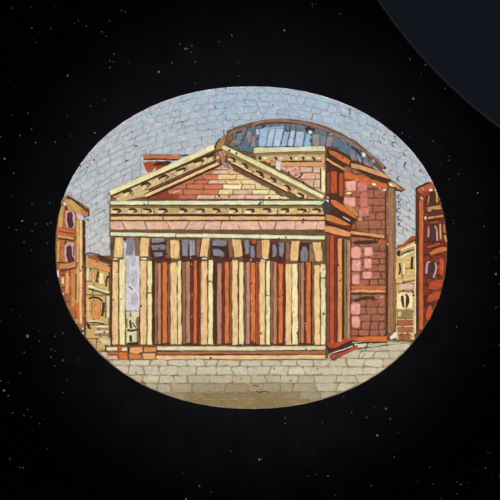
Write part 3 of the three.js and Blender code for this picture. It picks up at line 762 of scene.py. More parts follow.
def stone_material():
    """Polished black stone: dusty on its face, ground on its sides and back, with a painted glow that
    lightens the face round the middle.
    """
    item, shader, surface = material("polished_black_stone")
    inputs = (("Place", "NodeSocketVector", None),)
    tree = group("stone_dust", inputs, (("Dust", "NodeSocketFloat"),), build_dust)
    place = shader.node("ShaderNodeTexCoord").outputs["Object"]
    dust = placed(shader, tree, Place=place)["Dust"]
    depth = shader.node("ShaderNodeSeparateXYZ", Vector=place).outputs["Y"]
    polished = shader.span(depth, (STONE_FACE + 0.01) * MM, (STONE_FACE + 0.05) * MM, 1.0, 0.0)
    side = shader.span(depth, (STONE_FACE + 0.3) * MM, (STONE_FACE + 1.2) * MM)
    # Painted glow: the face is lightened towards the middle, round the mosaic, and left nearly black further
    # out.
    middle = shader.node("ShaderNodeVectorMath", {"operation": "LENGTH"}, n0=place).outputs["Value"]
    cloud = shader.noise(place, 240.0, 4.0, 0.6)
    near = shader.span(middle, 0.018, 0.036, 1.0, 0.0)
    painted_glow = shader.sum("MULTIPLY", near, shader.span(cloud, 0.2, 0.8, 0.7, 1.2))
    black = tuple(0.04 * part for part in colour("stone"))
    face = shader.blend(painted_glow, black, colour("stone"))
    marks = shader.noise(shader.stretched(place, (1.0, 1.0, 0.08)), 2600.0, 3.0)
    ground = shader.blend(marks, (0.014, 0.014, 0.015), (0.045, 0.045, 0.047))
    ground = shader.blend(side, black, ground)
    body = shader.blend(polished, ground, face)
    dusty = shader.blend(shader.sum("MULTIPLY", dust, 0.8), body, colour("dust"))
    links = item.node_tree.links
    links.new(dusty, surface.inputs["Base Color"])
    shine = shader.sum("ADD", shader.span(cloud, 0.3, 0.7, 0.05, 0.1), shader.sum("MULTIPLY", dust, 0.4))
    rough = shader.node("ShaderNodeMix", {"data_type": "FLOAT"}, n0=polished, n2=0.95, n3=shine)
    links.new(rough.outputs[0], surface.inputs["Roughness"])
    saw = shader.noise(shader.stretched(place, (1.0, 1.0, 0.02)), 1800.0, 3.0)
    height = shader.sum("ADD", shader.sum("MULTIPLY", saw, side), shader.sum("MULTIPLY", dust, 0.5))
    bump = shader.node("ShaderNodeBump", Strength=0.5, Distance=0.00005, Height=height)
    links.new(bump.outputs["Normal"], surface.inputs["Normal"])
    surface.inputs["IOR"].default_value = 1.33
    return item


# The stone and the mastic


class MOSAIC_OT_stone(bpy.types.Operator):
    """Finish the slab: polished face, ground sides and back"""
    bl_idname = "mosaic.stone"
    bl_label = "Stone slab"

    def execute(self, context):
        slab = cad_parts["stone_slab"]
        slab.data.materials.clear()
        slab.data.materials.append(stone_material())
        return {"FINISHED"}


PALE = ("sky", "sky_between_columns", "roof_behind")
SAND = ("paving",)
WALL = ("drum_upper_wall", "drum_lower_wall")
DARK = (
    "left_tower", "right_tower", "drum_cornice", "corner_pier", "flank_pier", "flank_entablature",
    "flank_upper_step", "flank_lower_step", "roof_edge")
ROSY = ("gable_field", "attic_wall", "frieze")
# The rim of the mastic is pale above the first height and sandy below the second. Its width follows.
SKY_RIM = 6.2
PAVING_RIM = -11.8
RIM = 0.5
# How far the mastic of an area reaches out into the joint round it, as a share of the joint.
PALE_REACH = 0.4
REACH = 0.25


def mastic_colour(node):
    """The mastic's colour round a node's glass."""
    if node in PALE:
        return "pale_mastic"
    if node in SAND:
        return "sand_mastic"
    if node in WALL:
        return "wall_mastic"
    if node in ROSY:
        return "rosy_mastic"
    return "dark_mastic" if node in DARK else "warm_mastic"


def rim_colour(z):
    """The mastic's colour at the rim of the oval."""
    if z > SKY_RIM:
        return "rim_mastic"
    return "sand_mastic" if z < PAVING_RIM else "warm_mastic"


class MOSAIC_OT_mastic(bpy.types.Operator):
    """Fill the sinking with mastic, up to just under the face of the glass"""
    bl_idname = "mosaic.mastic"
    bl_label = "Mastic"

    def execute(self, context):
        joint = sizes().joint / MM
        surface_y = STONE_FACE + MASTIC_SUNK
        whole = bmesh.new()
        whole.verts.layers.float_color.new("glass")
        bed_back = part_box("mastic_bed")[1][1] / MM
        beds = [("mastic_bed", "warm_mastic", 0.0, surface_y + BED_SUNK, bed_back)]
        for node in sorted(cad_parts):
            if node in ("stone_slab", "mastic_bed"):
                continue
            pale = node in PALE or node in SAND
            grow = joint * (PALE_REACH if pale else REACH)
            front_y = surface_y - (PALE_RISE if pale else 0.0)
            beds.append((node, mastic_colour(node), grow, front_y, GLASS_BACK))
        for node, name, grow, front_y, back_y in beds:
            bm = footprint(node)
            shade = bm.verts.layers.float_color.new("glass")
            outer = []
            if grow:
                rims = bmesh.ops.inset_individual(bm, faces=bm.faces[:], thickness=-grow)["faces"]
                bmesh.ops.delete(bm, geom=rims, context="FACES")
            elif node == "mastic_bed":
                outer = bm.verts[:]
                bmesh.ops.inset_individual(bm, faces=bm.faces[:], thickness=RIM)
            deep = bmesh.ops.extrude_face_region(bm, geom=bm.faces[:], use_keep_orig=True)["geom"]
            moved = [item for item in deep if isinstance(item, bmesh.types.BMVert)]
            for vert in bm.verts:
                vert.co.y = front_y
                vert[shade] = (*colour(name), 1)
            for vert in outer:
                vert.co.y = STONE_FACE + 2 * SUNK
                vert[shade] = (*colour(rim_colour(vert.co.z)), 1)
            for vert in moved:
                vert.co.y = back_y
            bmesh.ops.recalc_face_normals(bm, faces=bm.faces[:])
            mesh = bpy.data.meshes.new("bed")
            bm.to_mesh(mesh)
            bm.free()
            whole.from_mesh(mesh)
            bpy.data.meshes.remove(mesh)
        bmesh.ops.scale(whole, vec=(MM,) * 3, verts=whole.verts)
        put(whole, "mastic", ("mastic_bed",), mastic_material())
        return {"FINISHED"}


# The sky and the paving


def sky_colour(x, z):
    """Blue grey at the top and the right, rosy grey at the left and low down."""
    high = mixed("sky_lilac", "sky_grey", (z + 2) / 9)
    blue = min(max((z - 9) / 8, 0.0), 1.0) * min(max((x + 20) / 16, 0.0), 1.0)
    return mixed(high, "sky_blue", blue)


# Open gaps that curve round a piece, as their middles and their half widths and heights.
ROUND_SKY = (
    ((16.83, 13.47), 0.79, 0.39), ((18.11, 12.58), 0.98, 0.42), ((19.52, 11.55), 1.1, 0.39),
    ((19.58, 10.09), 0.92, 0.54), ((17.56, 9.23), 0.79, 0.39), ((18.66, 8.44), 0.85, 0.37),
    ((18.72, 6.2), 0.85, 0.34), ((18.72, 5.45), 0.79, 0.34), ((18.66, 4.56), 0.79, 0.39),
    ((18.66, 3.62), 0.79, 0.29), ((18.54, 2.8), 0.67, 0.27), ((16.28, 10.94), 0.67, 0.34),
    ((11.52, 16.56), 0.61, 0.54), ((13.78, 15.22), 0.79, 0.37), ((15.37, 11.43), 0.85, 0.39))
# The gaps of this number and later are faint.
FIRST_FAINT = 11
# Other open gaps, as lines, and the middles of small pits.
SKY_GAPS = (
    ((14.63, 14), (14.39, 13.51)), ((-8.7, 11.24), (-7.72, 11.36)),
    ((-15.41, 10.58), (-15.17, 10.46), (-14.68, 10.64)), ((-6.5, 16.81), (-5.89, 17.11)),
    ((-8.82, 15.83), (-8.21, 15.71)), ((-17.61, 5.39), (-17.25, 5.69)),
    ((-20.06, 3.62), (-19.87, 3.25), (-19.32, 3.37)))
SKY_PITS = (
    (-12.12, 16.68), (-3.81, 17.54), (2.66, 17.42), (4.49, 18.03), (-16.88, 10.09), (-20.3, 6.67),
    (-18.35, 5.2), (-18.83, 10.33), (-8.33, 17.91), (-6.25, 16.93), (-1.37, 18.39), (-19.2, 10.7),
    (-18.22, 4.96))


class MOSAIC_OT_sky(bpy.types.Operator):
    """Set the cut pieces of the sky in arched courses"""
    bl_idname = "mosaic.sky"
    bl_label = "Sky"

    def execute(self, context):
        tray = Tray(11)
        given = sizes()
        tray.field(
            "sky", sky_colour, given.sky_course / MM, given.sky_piece / MM, bend=34.0, slant=0.2,
            vary=0.03, loose=0.3)
        for number, (middle, across, up) in enumerate(ROUND_SKY):
            faint = number >= FIRST_FAINT
            width = 0.1 if faint else 0.16
            shade = "slate" if faint else "pit"
            turn = tray.random.uniform(-12, 12)
            tray.rod(arc(middle, (across, up), 125 + turn, 262 + turn, 5), width, shade, 1, end_width=0.08)
            if number % 3 != 1:
                tray.rod(arc(middle, (across, up), -40, 55 + turn, 4), 0.08, "slate", 1)
        for gap in SKY_GAPS:
            tray.rod(list(gap), 0.16, "pit", 1, end_width=0.08)
        for x, z in SKY_PITS:
            size = tray.random.uniform(0.08, 0.16)
            tray.piece(arc((x, z), (size, size * 0.8), 0, 300, 5), "pit", 1)
        tray.piece(arc((-14.07, 12.41), (0.3, 0.16), -30, 270, 5), "slate", 1)
        tray.flecks(230, ("white", "sky_white", "white", "slate", "slate", "pit"), 0.07, 0.17)
        tray.cut_to_depth(
            "sky_tesserae", ("sky",), sky_glass(), given.sky_joint / MM, 0.09, 40)
        return {"FINISHED"}


def paving_colour(x, z):
    """Pale behind and at the right, ochre along the front."""
    middle = 1 - min((x + 1.5) ** 2 / 190, 1.0)
    front = max((-15.2 - z) / 2.6 * middle, (-17.4 - z) / 2.0)
    return mixed("paving_pale", "paving_ochre", front)


# Tables of laid pieces, here and below: colour, level, a rod's width if it is a rod, and its points.
PAVING_CHIPS = (
    ("brown", 1, (-13.7, -16.29), (-12.85, -16.42), (-12.73, -16.9), (-13.46, -16.9)),
    ("white", 2, (16.83, -10.92), (17.75, -10.19), (17.81, -11.04), (17.08, -11.29)),
    ("olive", 1, 0.12, (12.43, -13.3), (13.04, -13.61), (13.78, -13.36), (13.96, -12.87)),
    ("sky_grey", 1, (11.7, -12.92), (12.19, -12.63), (12.38, -12.87), (11.95, -13.24)),
    ("rust", 1, (-14.24, -15.19), (-13.95, -15.15), (-13.95, -15.44), (-14.19, -15.44)),
    ("pit", 1, 0.14, (0.1, -16.84), (1.07, -16.9)),
    ("pit", 1, 0.14, (0.59, -17.51), (2.3, -17.64)),
    ("pit", 1, 0.12, (9.75, -13.42), (10.36, -13.73)))


class MOSAIC_OT_paving(bpy.types.Operator):
    """Set the cut pieces of the paving in level courses"""
    bl_idname = "mosaic.paving"
    bl_label = "Paving"

    def execute(self, context):
        tray = Tray(23)
        given = sizes()
        tray.field(
            "paving", paving_colour, given.paving_course / MM, given.paving_piece / MM, slant=0.25,
            vary=0.05, loose=0.3)
        lay(tray, *PAVING_CHIPS)
        tray.flecks(90, ("umber", "brown", "cream", "sky_grey"), 0.05, 0.12)
        tray.cut_to_depth(
            "paving_tesserae", ("paving",), paving_glass(),
            given.paving_joint / MM, 0.09, 42)
        return {"FINISHED"}


# The porch


def hook(tray, x, z, run, size, level=1):
    """A bracket: a pale piece in a dark hook that turns down at its far end."""
    along = Vector(run).normalized()
    up = Vector((-along.y, along.x))

    def at(a, b):
        a += tray.random.uniform(-0.07, 0.07)
        b += tray.random.uniform(-0.04, 0.04)
        point = Vector((x, z)) + along * a * size + up * b * size
        return point.x, point.y

    pale = tray.random.choice(("cream", "yellow", "peach", "straw"))
    tray.piece([at(-0.35, -0.2), at(0.1, -0.3), at(0.7, -0.26), at(0.72, 0.02), at(0.0, 0.06)], pale, level)
    tray.rod([at(-0.1, 0.22), at(0.4, 0.26), at(0.9, 0.16)], 0.2, "umber", level + 1, end_width=0.34)
    tray.rod([at(0.85, 0.26), at(1.02, -0.02), at(0.5, -0.2)], 0.32, "umber", level + 1, end_width=0.12)


# Places and size of the porch's brackets.
PORCH_BRACKETS = (
    -16.88, -14.93, -13.15, -11.26, -8.76, -6.62, -4.73, -2.59, -0.57, 1.5, 3.64, 5.72, 7.55)
PORCH_BRACKET = 0.95


class MOSAIC_OT_entablature(bpy.types.Operator):
    """Lay the rods, brackets and tiles over the columns"""
    bl_idname = "mosaic.entablature"
    bl_label = "Entablature"

    def execute(self, context):
        tray = Tray(31)
        tray.field("cornice", "cream", piece=13.0, vary=0.02)
        tray.field("architrave", "cream", piece=13.0, vary=0.02)
        tray.cut_to_depth("porch_cornices", ("cornice", "architrave"), drawn_glass(), THIN)
        tray = Tray(32)
        left, right, low, high = box_of("bracket_course")
        tray.field("bracket_course", "tan", piece=1.5, slant=0.6, vary=0.07)
        tray.rod([(left, high - 0.13), (right, high - 0.14)], 0.3, "olive", 1)
        tray.rod([(left, low + 0.09), (right, low + 0.03)], 0.17, "umber", 3)
        for x in PORCH_BRACKETS:
            hook(tray, x, low + 0.5, (1, -0.02), PORCH_BRACKET)
        tray.cut_to_depth("porch_brackets", ("bracket_course",), drawn_glass(), THIN)
        tray = Tray(33)
        tray.field("orange_fillet", mixed("peach", "apricot", 0.3), piece=9.0, vary=0.03)
        tray.cut_to_depth("porch_fillet", ("orange_fillet",), drawn_glass(), THIN)
        tray = Tray(34)
        tray.field("frieze", "blush", piece=2.35, slant=0.3, vary=0.035)
        tray.cut_to_depth("porch_frieze", ("frieze",), cut_glass(), 0.07, 0.04, 16)
        return {"FINISHED"}


# Columns: left edge, seam and right edge of the two rods, then the head's corners from the top left.
COLUMNS = (
    (-17, -16.22, -15.41, ((-16.64, 1.23), (-15.6, 1.23), (-15.72, -1.21), (-16.82, -1.21))),
    (-13.58, -12.8, -12.12, ((-13.52, 1.23), (-12.42, 1.23), (-12.6, -1.15), (-13.64, -1.15))),
    (-9.86, -9.04, -8.51, ((-9.98, 0.93), (-8.76, 0.93), (-8.7, -1.33), (-9.8, -1.33))),
    (-6.13, -5.35, -4.67, ((-6.01, 1.17), (-5.03, 1.17), (-5.28, -1.15), (-6.38, -1.15))),
    (-2.32, -1.59, -0.93, ((-2.41, 1.05), (-1.25, 1.05), (-1.06, -1.03), (-2.04, -1.21))),
    (0.99, 1.69, 2.32, ((1.2, 0.95), (2.26, 0.95), (2.17, -1.39), (1.32, -1.39))),
    (4.16, 4.91, 5.72, ((4.84, 0.83), (5.9, 0.83), (5.77, -1.64), (4.74, -1.64))),
    (7.71, 8.4, 9.09, ((7.43, 0.71), (8.59, 0.71), (8.71, -1.64), (7.91, -1.7))),
)
# The height at which the strips of the bays end, about, and at which their maroon ground ends.
STRIP_TOP = -1.76
HEAD_FOOT = -1.15
# Dark chips down each column's seam, and pale ones down every second bay.
SEAM_CHIPS = 7
BAY_CHIPS = 5
# Strips of each bay: colour, left and right.
BAYS = {
    "bay_2": (
        ("umber", -12.06, -11.81), ("brown", -11.79, -11.46), ("rose", -11.43, -11.02),
        ("orange", -10.85, -10.24), ("brown", -10.14, -9.92)),
    "bay_3": (
        ("brown", -8.45, -7.99), ("rose", -7.96, -7.47), ("wine", -7.4, -7.08), ("orange", -7.04, -6.62),
        ("wine", -6.58, -6.33), ("brown", -6.3, -6.13)),
    "bay_4": (
        ("umber", -4.57, -4.2), ("rose", -4.18, -3.59), ("wine", -3.52, -3.27),
        ("orange", -3.22, -2.69), ("brown", -2.59, -2.37)),
    "bay_5": (
        ("brown", -0.85, -0.64), ("rose", -0.61, -0.15), ("orange", -0.07, 0.51), ("rust", 0.56, 0.81),
        ("brown", 0.83, 0.98)),
    "bay_6": (
        ("brown", 2.37, 2.66), ("rose", 2.69, 3.13), ("wine", 3.15, 3.3), ("orange", 3.32, 3.86),
        ("wine", 3.91, 4.1)),
    "bay_7": (
        ("brown", 5.77, 6.03), ("rose", 6.06, 6.45), ("wine", 6.5, 6.69), ("orange", 6.72, 7.28),
        ("olive", 7.47, 7.67)),
}
# Grey glassy pieces, brown shade and other chips between the column heads.
HEADS = {
    "bay_2": (
        ("slate", 2, (-12.18, 1.11), (-10.65, 1.23), (-10.41, 0.81), (-11.26, 0.56), (-12.18, 0.56)),
        ("slate", 2, (-12.24, 0.32), (-10.77, 0.44), (-10.41, 0.2), (-10.53, -0.29), (-12.12, -0.29)),
        ("slate", 2, (-11.99, -0.6), (-10.77, -0.54), (-10.77, -1.03), (-11.75, -1.15)),
        ("brown", 1, (-10.35, 0.93), (-9.98, 0.93), (-9.92, -1.27), (-10.53, -1.27))),
    "bay_3": (
        ("slate", 2, (-8.51, 0.93), (-7.66, 1.05), (-7.72, -1.09), (-8.45, -1.03)),
        ("lilac_grey", 2, (-7.6, 0.93), (-6.86, 0.93), (-6.8, -0.9), (-7.54, -1.09)),
        ("brown", 1, (-6.74, 1.05), (-6.13, 1.05), (-6.38, -1.15), (-6.74, -1.15))),
    "bay_4": (
        ("slate", 2, (-4.79, 0.81), (-4.3, 1.05), (-3.02, 0.93), (-2.89, 0.32), (-3.57, 0.13),
         (-4.79, 0.26)),
        ("slate", 2, (-4.79, -0.17), (-3.93, -0.11), (-3.2, -0.78), (-3.32, -1.15), (-4.67, -1.03)),
        ("umber", 1, (-3.93, 0.01), (-2.83, 0.07), (-2.59, -0.66), (-3.08, -1.15)),
        ("brown", 1, (-2.83, 0.93), (-2.41, 0.93), (-2.1, -1.15), (-2.71, -1.27))),
    "bay_5": (
        ("slate", 2, (-0.88, 0.87), (-0.27, 0.93), (-0.15, 0.2), (-0.27, -0.84), (-0.76, -0.78)),
        ("slate", 2, (-0.09, 0.32), (0.34, 0.2), (0.53, -0.54), (0.34, -1.33), (-0.15, -1.15)),
        ("rust", 2, (-0.02, 0.99), (0.65, 0.99), (0.59, 0.38), (0.1, 0.5)),
        ("brown", 1, (0.65, 0.93), (1.2, 0.93), (1.26, -1.27), (0.65, -1.27))),
    "bay_6": (
        ("slate", 2, (2.54, 0.32), (2.91, 0.5), (3.15, -0.17), (3.09, -1.09), (2.54, -1.21)),
        ("slate", 2, (3.27, 0.56), (4.01, 0.68), (4.07, -0.54), (3.82, -1.21), (3.4, -1.03)),
        ("wine", 1, (2.3, 0.87), (3.4, 0.93), (3.27, 0.56), (2.42, 0.5)),
        ("brown", 1, (4.19, 0.68), (4.8, 0.68), (4.74, -1.51), (4.19, -1.51))),
    "bay_7": (
        ("slate", 2, (6.33, 0.2), (6.75, 0.07), (7, -0.9), (6.88, -1.76), (6.08, -1.7), (6.02, -0.54)),
        ("olive", 1, (7.06, 0.32), (7.43, 0.56), (7.91, -1.64), (7.12, -1.76))),
}


class MOSAIC_OT_columns(bpy.types.Operator):
    """Lay each column: a head tile over a warm and a light rod"""
    bl_idname = "mosaic.columns"
    bl_label = "Columns"

    def execute(self, context):
        for index, (left, seam, right, head) in enumerate(COLUMNS):
            node = f"column_{index + 1}"
            tray = Tray(40 + index)
            low = box_of(node)[2]
            neck = min(head, key=lambda point: point[1])[1]
            tray.piece(list(head), "capital", 0, (0, 1), 0.04)
            for start, end, name in ((left, seam, "peach"), (seam + 0.1, right, "yellow")):
                lean = tray.random.uniform(-0.06, 0.06)
                top = neck - tray.random.uniform(0.2, 0.55)
                cut_at = low + (top - low) * tray.random.uniform(0.15, 0.85)
                outline = [(start, low), (end, low), (end + lean, top), (start + lean, top)]
                if index % 2 == 0 or name == "peach":
                    tray.piece(outline, name, 0, (0, 1), 0.03)
                else:
                    tray.block((start, low), (end, cut_at - 0.02), name, 0, 0.03, False, (0, 1))
                    tray.block((start + lean, cut_at + 0.02), (end, top), name, 0, 0.03, False, (0, 1))
            if index in (0, 1, 3, 5):
                tray.block((left + 0.1, neck - 0.3), (seam, neck - 0.08), "white", 1, 0.05)
            for _ in range(SEAM_CHIPS):
                chip = (seam + 0.05, low + (neck - low) * tray.random.uniform(0.05, 0.92))
                tray.piece(arc(chip, (0.08, tray.random.uniform(0.12, 0.3)), 0, 290, 5), "olive", 1)
            tray.cut_to_depth(f"{node}_rods", (node,), drawn_glass(), None, 0.06, 10)
        return {"FINISHED"}


PORCH_SKY = (
    ("slate", 1, (-15.23, 1.17), (-14.31, 1.29), (-14.38, -0.54), (-14.68, -0.9), (-15.29, -0.78)),
    ("brown", 1, (-14.25, 1.17), (-13.7, 1.17), (-13.77, -0.96), (-14.25, -0.9)),
    ("umber", 1, (-15.66, 1.05), (-15.35, 1.17), (-15.35, 0.56)),
    ("sky_grey", 1, (-14.74, -1.15), (-14.07, -1.15), (-14.13, -2.25), (-14.68, -2.25)),
    ("sky_grey", 1, (-14.68, -2.86), (-14.07, -2.74), (-13.83, -3.47), (-14.07, -4.81), (-14.56, -4.69),
        (-14.8, -3.71)),
    ("sky_grey", 1, (-14.68, -5.67), (-14.07, -5.42), (-13.77, -6.16), (-14.07, -7.13), (-14.68, -7.01)),
    ("sky_lilac", 1, (-15.23, -1.15), (-14.86, -1.15), (-14.86, -4.45), (-15.23, -4.45)),
    ("umber", 2, 0.16, (-14.99, -4.75), (-14.74, -4.93), (-14.5, -5.12)))
FAR_HOUSE = (
    ("olive", 1, (-14.93, -8.48), (-14.74, -7.56), (-14.56, -8.48)),
    ("brown", 1, (-14.07, -8.6), (-13.7, -8.35), (-13.7, -11.65), (-14.01, -11.65)),
    ("umber", 1, 0.3, (-14.8, -8.84), (-14.66, -9.94)),
    ("olive", 1, 0.2, (-15.22, -8.6), (-15.17, -9.82)),
    ("cream", 1, 0.34, (-14.31, -8.84), (-14.24, -9.7)),
    ("umber", 2, 0.18, (-14.53, -9.09), (-14.07, -9.82)),
    ("umber", 2, 0.26, (-15.17, -10.06), (-14.68, -10.19), (-13.77, -9.94)),
    ("cream", 1, 0.3, (-15.05, -11.53), (-15.02, -10.55), (-14.74, -10.31)),
    ("umber", 2, 0.34, (-14.73, -10.68), (-14.71, -11.53)),
    ("cream", 1, 0.3, (-14.38, -10.55), (-14.25, -11.53)),
    ("umber", 2, 0.3, (-15.17, -11.77), (-13.77, -11.7)))


class MOSAIC_OT_bays(bpy.types.Operator):
    """Fill the bays between the columns with drawn strips"""
    bl_idname = "mosaic.bays"
    bl_label = "Bays"

    def execute(self, context):
        for number, (node, strips) in enumerate(BAYS.items()):
            tray = Tray(60 + number)
            left, right = COLUMNS[number + 1][2] + 0.06, COLUMNS[number + 2][0] - 0.06
            low, high = box_of(node)[2:]
            tray.block((left - 0.1, low), (right + 0.1, HEAD_FOOT), "maroon", -1, 0.05)
            tray.block((left - 0.3, HEAD_FOOT), (right + 0.4, high), "umber", -1, 0.05)
            for name, start, end in strips:
                top = STRIP_TOP + tray.random.uniform(-0.2, 0.25)
                bottom = low + tray.random.uniform(0.03, 0.3)
                tray.block((start, bottom), (end, top), name, 1, 0.04, False, (0, 1))
            lay(tray, *HEADS[node])
            # Painted glints: a white fleck of painted highlight on each grey glassy piece.
            for name, level, *outline in HEADS[node]:
                if name in ("slate", "lilac_grey"):
                    one, other = tray.random.sample(outline, 2)
                    glint = ((one[0] * 2 + other[0]) / 3, (one[1] * 2 + other[1]) / 3)
                    tray.piece(arc(glint, (0.07, 0.1), 0, 290, 5), "white", level + 1)
            if number % 2 == 1:
                for _ in range(BAY_CHIPS):
                    spot = (strips[2][1] + tray.random.uniform(0, 0.2), tray.random.uniform(low + 0.4, 0))
                    tray.piece(arc(spot, (0.1, 0.16), 0, 300, 5), "blush", 2)
            tray.cut_to_depth(f"{node}_strips", (node,), bay_glass(), None, 0.04, 12)
        tray = Tray(70)
        tray.block((-15.29, -1.03), (-13.64, -7.74), "sky_white", 0, 0.02)
        lay(tray, *PORCH_SKY)
        tray.cut_to_depth("porch_sky", ("sky_between_columns",), sky_glass(), 0.08, 0.05, 22)
        tray = Tray(71)
        tray.block((-15.29, -11.77), (-13.7, -7.74), ("cream", "tan", 0.4), 0)
        lay(tray, *FAR_HOUSE)
        tray.cut_to_depth("far_house_glass", ("far_house",), drawn_glass(), None, 0.03, 12)
        return {"FINISHED"}


UPPER_STEP = (
    ("ivory", 0, 0.51, (-11.51, -12.31), (-0.76, -12.34), (9.08, -12.24)),
    ("ivory", 0, 0.49, (-17.69, -12.41), (-16.33, -12.36)),
    ("ivory", 0, 0.49, (-15.84, -12.41), (-15.12, -12.41)),
    ("rust", 1, (-16.33, -12.02), (-15.84, -12.02), (-15.9, -12.81), (-16.27, -12.75)),
    ("umber", 1, (-15.1, -12.14), (-14.88, -12.14), (-14.93, -12.87), (-15.12, -12.75)),
    ("apricot", 1, (-14.86, -12.2), (-13.34, -12.08), (-13.22, -12.75), (-13.95, -13), (-14.86, -12.87)),
    (("orange", "ochre", 0.5), 1, (-13.22, -12.14), (-11.57, -12.14), (-11.57, -12.75), (-13.09, -12.81)))
LOWER_STEP = (
    (("brown", "orange", 0.35), 0, 0.44, (-11.51, -12.85), (-1.37, -12.87), (9.08, -12.8)),
    ("umber", 1, 0.13, (-11.51, -12.67), (-8.7, -12.68)),
    ("umber", 1, 0.13, (-6.25, -13.04), (1.32, -13.07)),
    ("peach", 0, 0.51, (-11.63, -13.41), (-0.76, -13.41), (9.08, -13.34)),
    (("brown", "orange", 0.35), 0, 0.42, (-17.66, -12.9), (-16.15, -12.87)),
    ("blush", 0, 0.51, (-17.61, -13.41), (-16.34, -13.41)),
    ("orange", 1, (-16.15, -12.81), (-15.11, -12.75), (-15.05, -13.73), (-16.21, -13.68)),
    (("orange", "ochre", 0.3), 1, (-14.99, -12.92), (-13.46, -12.95), (-13.22, -13.61), (-14.95, -13.66)),
    ("apricot", 1, (-13.4, -12.9), (-11.7, -12.87), (-11.68, -13.66), (-13.14, -13.61)))


class MOSAIC_OT_steps(bpy.types.Operator):
    """Lay the steps of the porch"""
    bl_idname = "mosaic.steps"
    bl_label = "Steps"

    def execute(self, context):
        tray = Tray(80)
        lay(tray, *UPPER_STEP)
        tray.cut_to_depth("upper_step_rod", ("upper_step",), drawn_glass(), THIN)
        tray = Tray(81)
        lay(tray, *LOWER_STEP)
        tray.cut_to_depth(
            "lower_step_rods", ("step_riser", "lower_step"), drawn_glass(), THIN)
        return {"FINISHED"}


# The gable and the block behind the porch


def gable_colour(x, z):
    """Red at the left, pink in the middle and yellow at the right."""
    if x < -9.4 and z < 8.1:
        return "red" if z < 6.7 and x < -10 else mixed("red", "orange", 0.3)
    if x < -4.6 and (x < -6.4 or z > 6.8):
        return "coral"
    if z < 6.8:
        return "blush" if x < 1.0 else "yellow"
    if x < -3.1:
        return "blush"
    if z > 8.9:
        return "peach" if x > -2.4 else "blush"
    return "yellow" if int(z * 2.1) % 2 else mixed("yellow", "peach", 0.6)


# Places of the gable's brackets.
LEFT_HOOKS = (
    (-15.54, 6.49), (-13.34, 7.34), (-11.14, 8.26), (-8.94, 9.17), (-6.74, 10.21), (-5.28, 10.76))
RIGHT_HOOKS = (
    (-2.71, 10.88), (-1.18, 10.09), (0.65, 9.17), (2.3, 8.38), (4.01, 7.46), (5.66, 6.49))
# Each side's slope and the size of its brackets.
LEFT_RAKE = (-6.86 + 15.41, 10.58 - 6.91)
RIGHT_RAKE = (5.35 + 1.98, 7.65 - 11.31)
LEFT_BRACKET = 1.05
RIGHT_BRACKET = 0.82


GABLE_LINES = (
    ("tan", 0, 0.73, (-16.51, 5.87), (-12.36, 6.73)),
    ("umber", 3, 0.2, (-17.12, 6.25), (-11.14, 8.89), (-4.3, 11.63)),
    ("umber", 3, 0.16, (-13.09, 6.5), (-8.7, 8.45), (-4.3, 10.5)),
    ("umber", 3, 0.15, (-12.85, 5.98), (-8.7, 7.82), (-3.93, 9.94)),
    ("olive", 3, 0.37, (-3.2, 11.75), (2.54, 8.82), (8.77, 5.74)),
    ("umber", 3, 0.13, (-2.35, 10.26), (0.59, 8.72), (4.37, 6.77)))
APEX = (
    (("brown", "ochre", 0.4), 2, (-4.45, 12.09), (-4.3, 12.7), (-3.75, 13.31), (-3.32, 13.78),
        (-3.08, 13.44), (-3.2, 12.78), (-3.69, 12.04), (-4.18, 11.85)),
    ("umber", 3, 0.2, (-4.42, 12.12), (-4.23, 12.73), (-3.74, 13.34)),
    ("umber", 2, 0.13, (-3.37, 14.49), (-3.3, 13.68)),
    ("brown", 1, (-4.49, 11.68), (-3.93, 11.8), (-3.74, 10.94), (-3.81, 9.97), (-4.3, 10.33)),
    ("rose", 1, (-3.81, 11.8), (-3.32, 11.73), (-3.13, 10.94), (-3.52, 9.97), (-3.71, 10.7)),
    ("peach", 2, (-4.36, 11.19), (-3.98, 11.31), (-3.88, 10.82), (-4.3, 10.7)))
GABLE_CHIPS = (
    ("red", 1, 0.61, (-11.32, 6.3), (-9.55, 6.3)),
    ("slate", 1, (-3.38, 10.52), (-2.83, 10.33), (-2.71, 9.84), (-3.37, 9.72)),
    ("blush", 1, (-2.76, 10.24), (-2.17, 9.72), (-2.35, 9.16), (-2.76, 9.36)),
    ("white", 2, (-3.44, 10.33), (-3.27, 10.36), (-3.25, 10.16), (-3.42, 10.14)),
    ("umber", 2, 0.17, (-2.76, 9.77), (-2.49, 9.67)),
    ("umber", 2, 0.18, (-2.88, 6.25), (-2.66, 6.25)),
    ("blush", 1, (-9.8, 6.74), (-8.57, 7.08), (-8.5, 6.91), (-9.43, 6.67)),
    ("umber", 1, 0.16, (2.91, 6.79), (3.4, 6.5), (4.01, 6.18)))


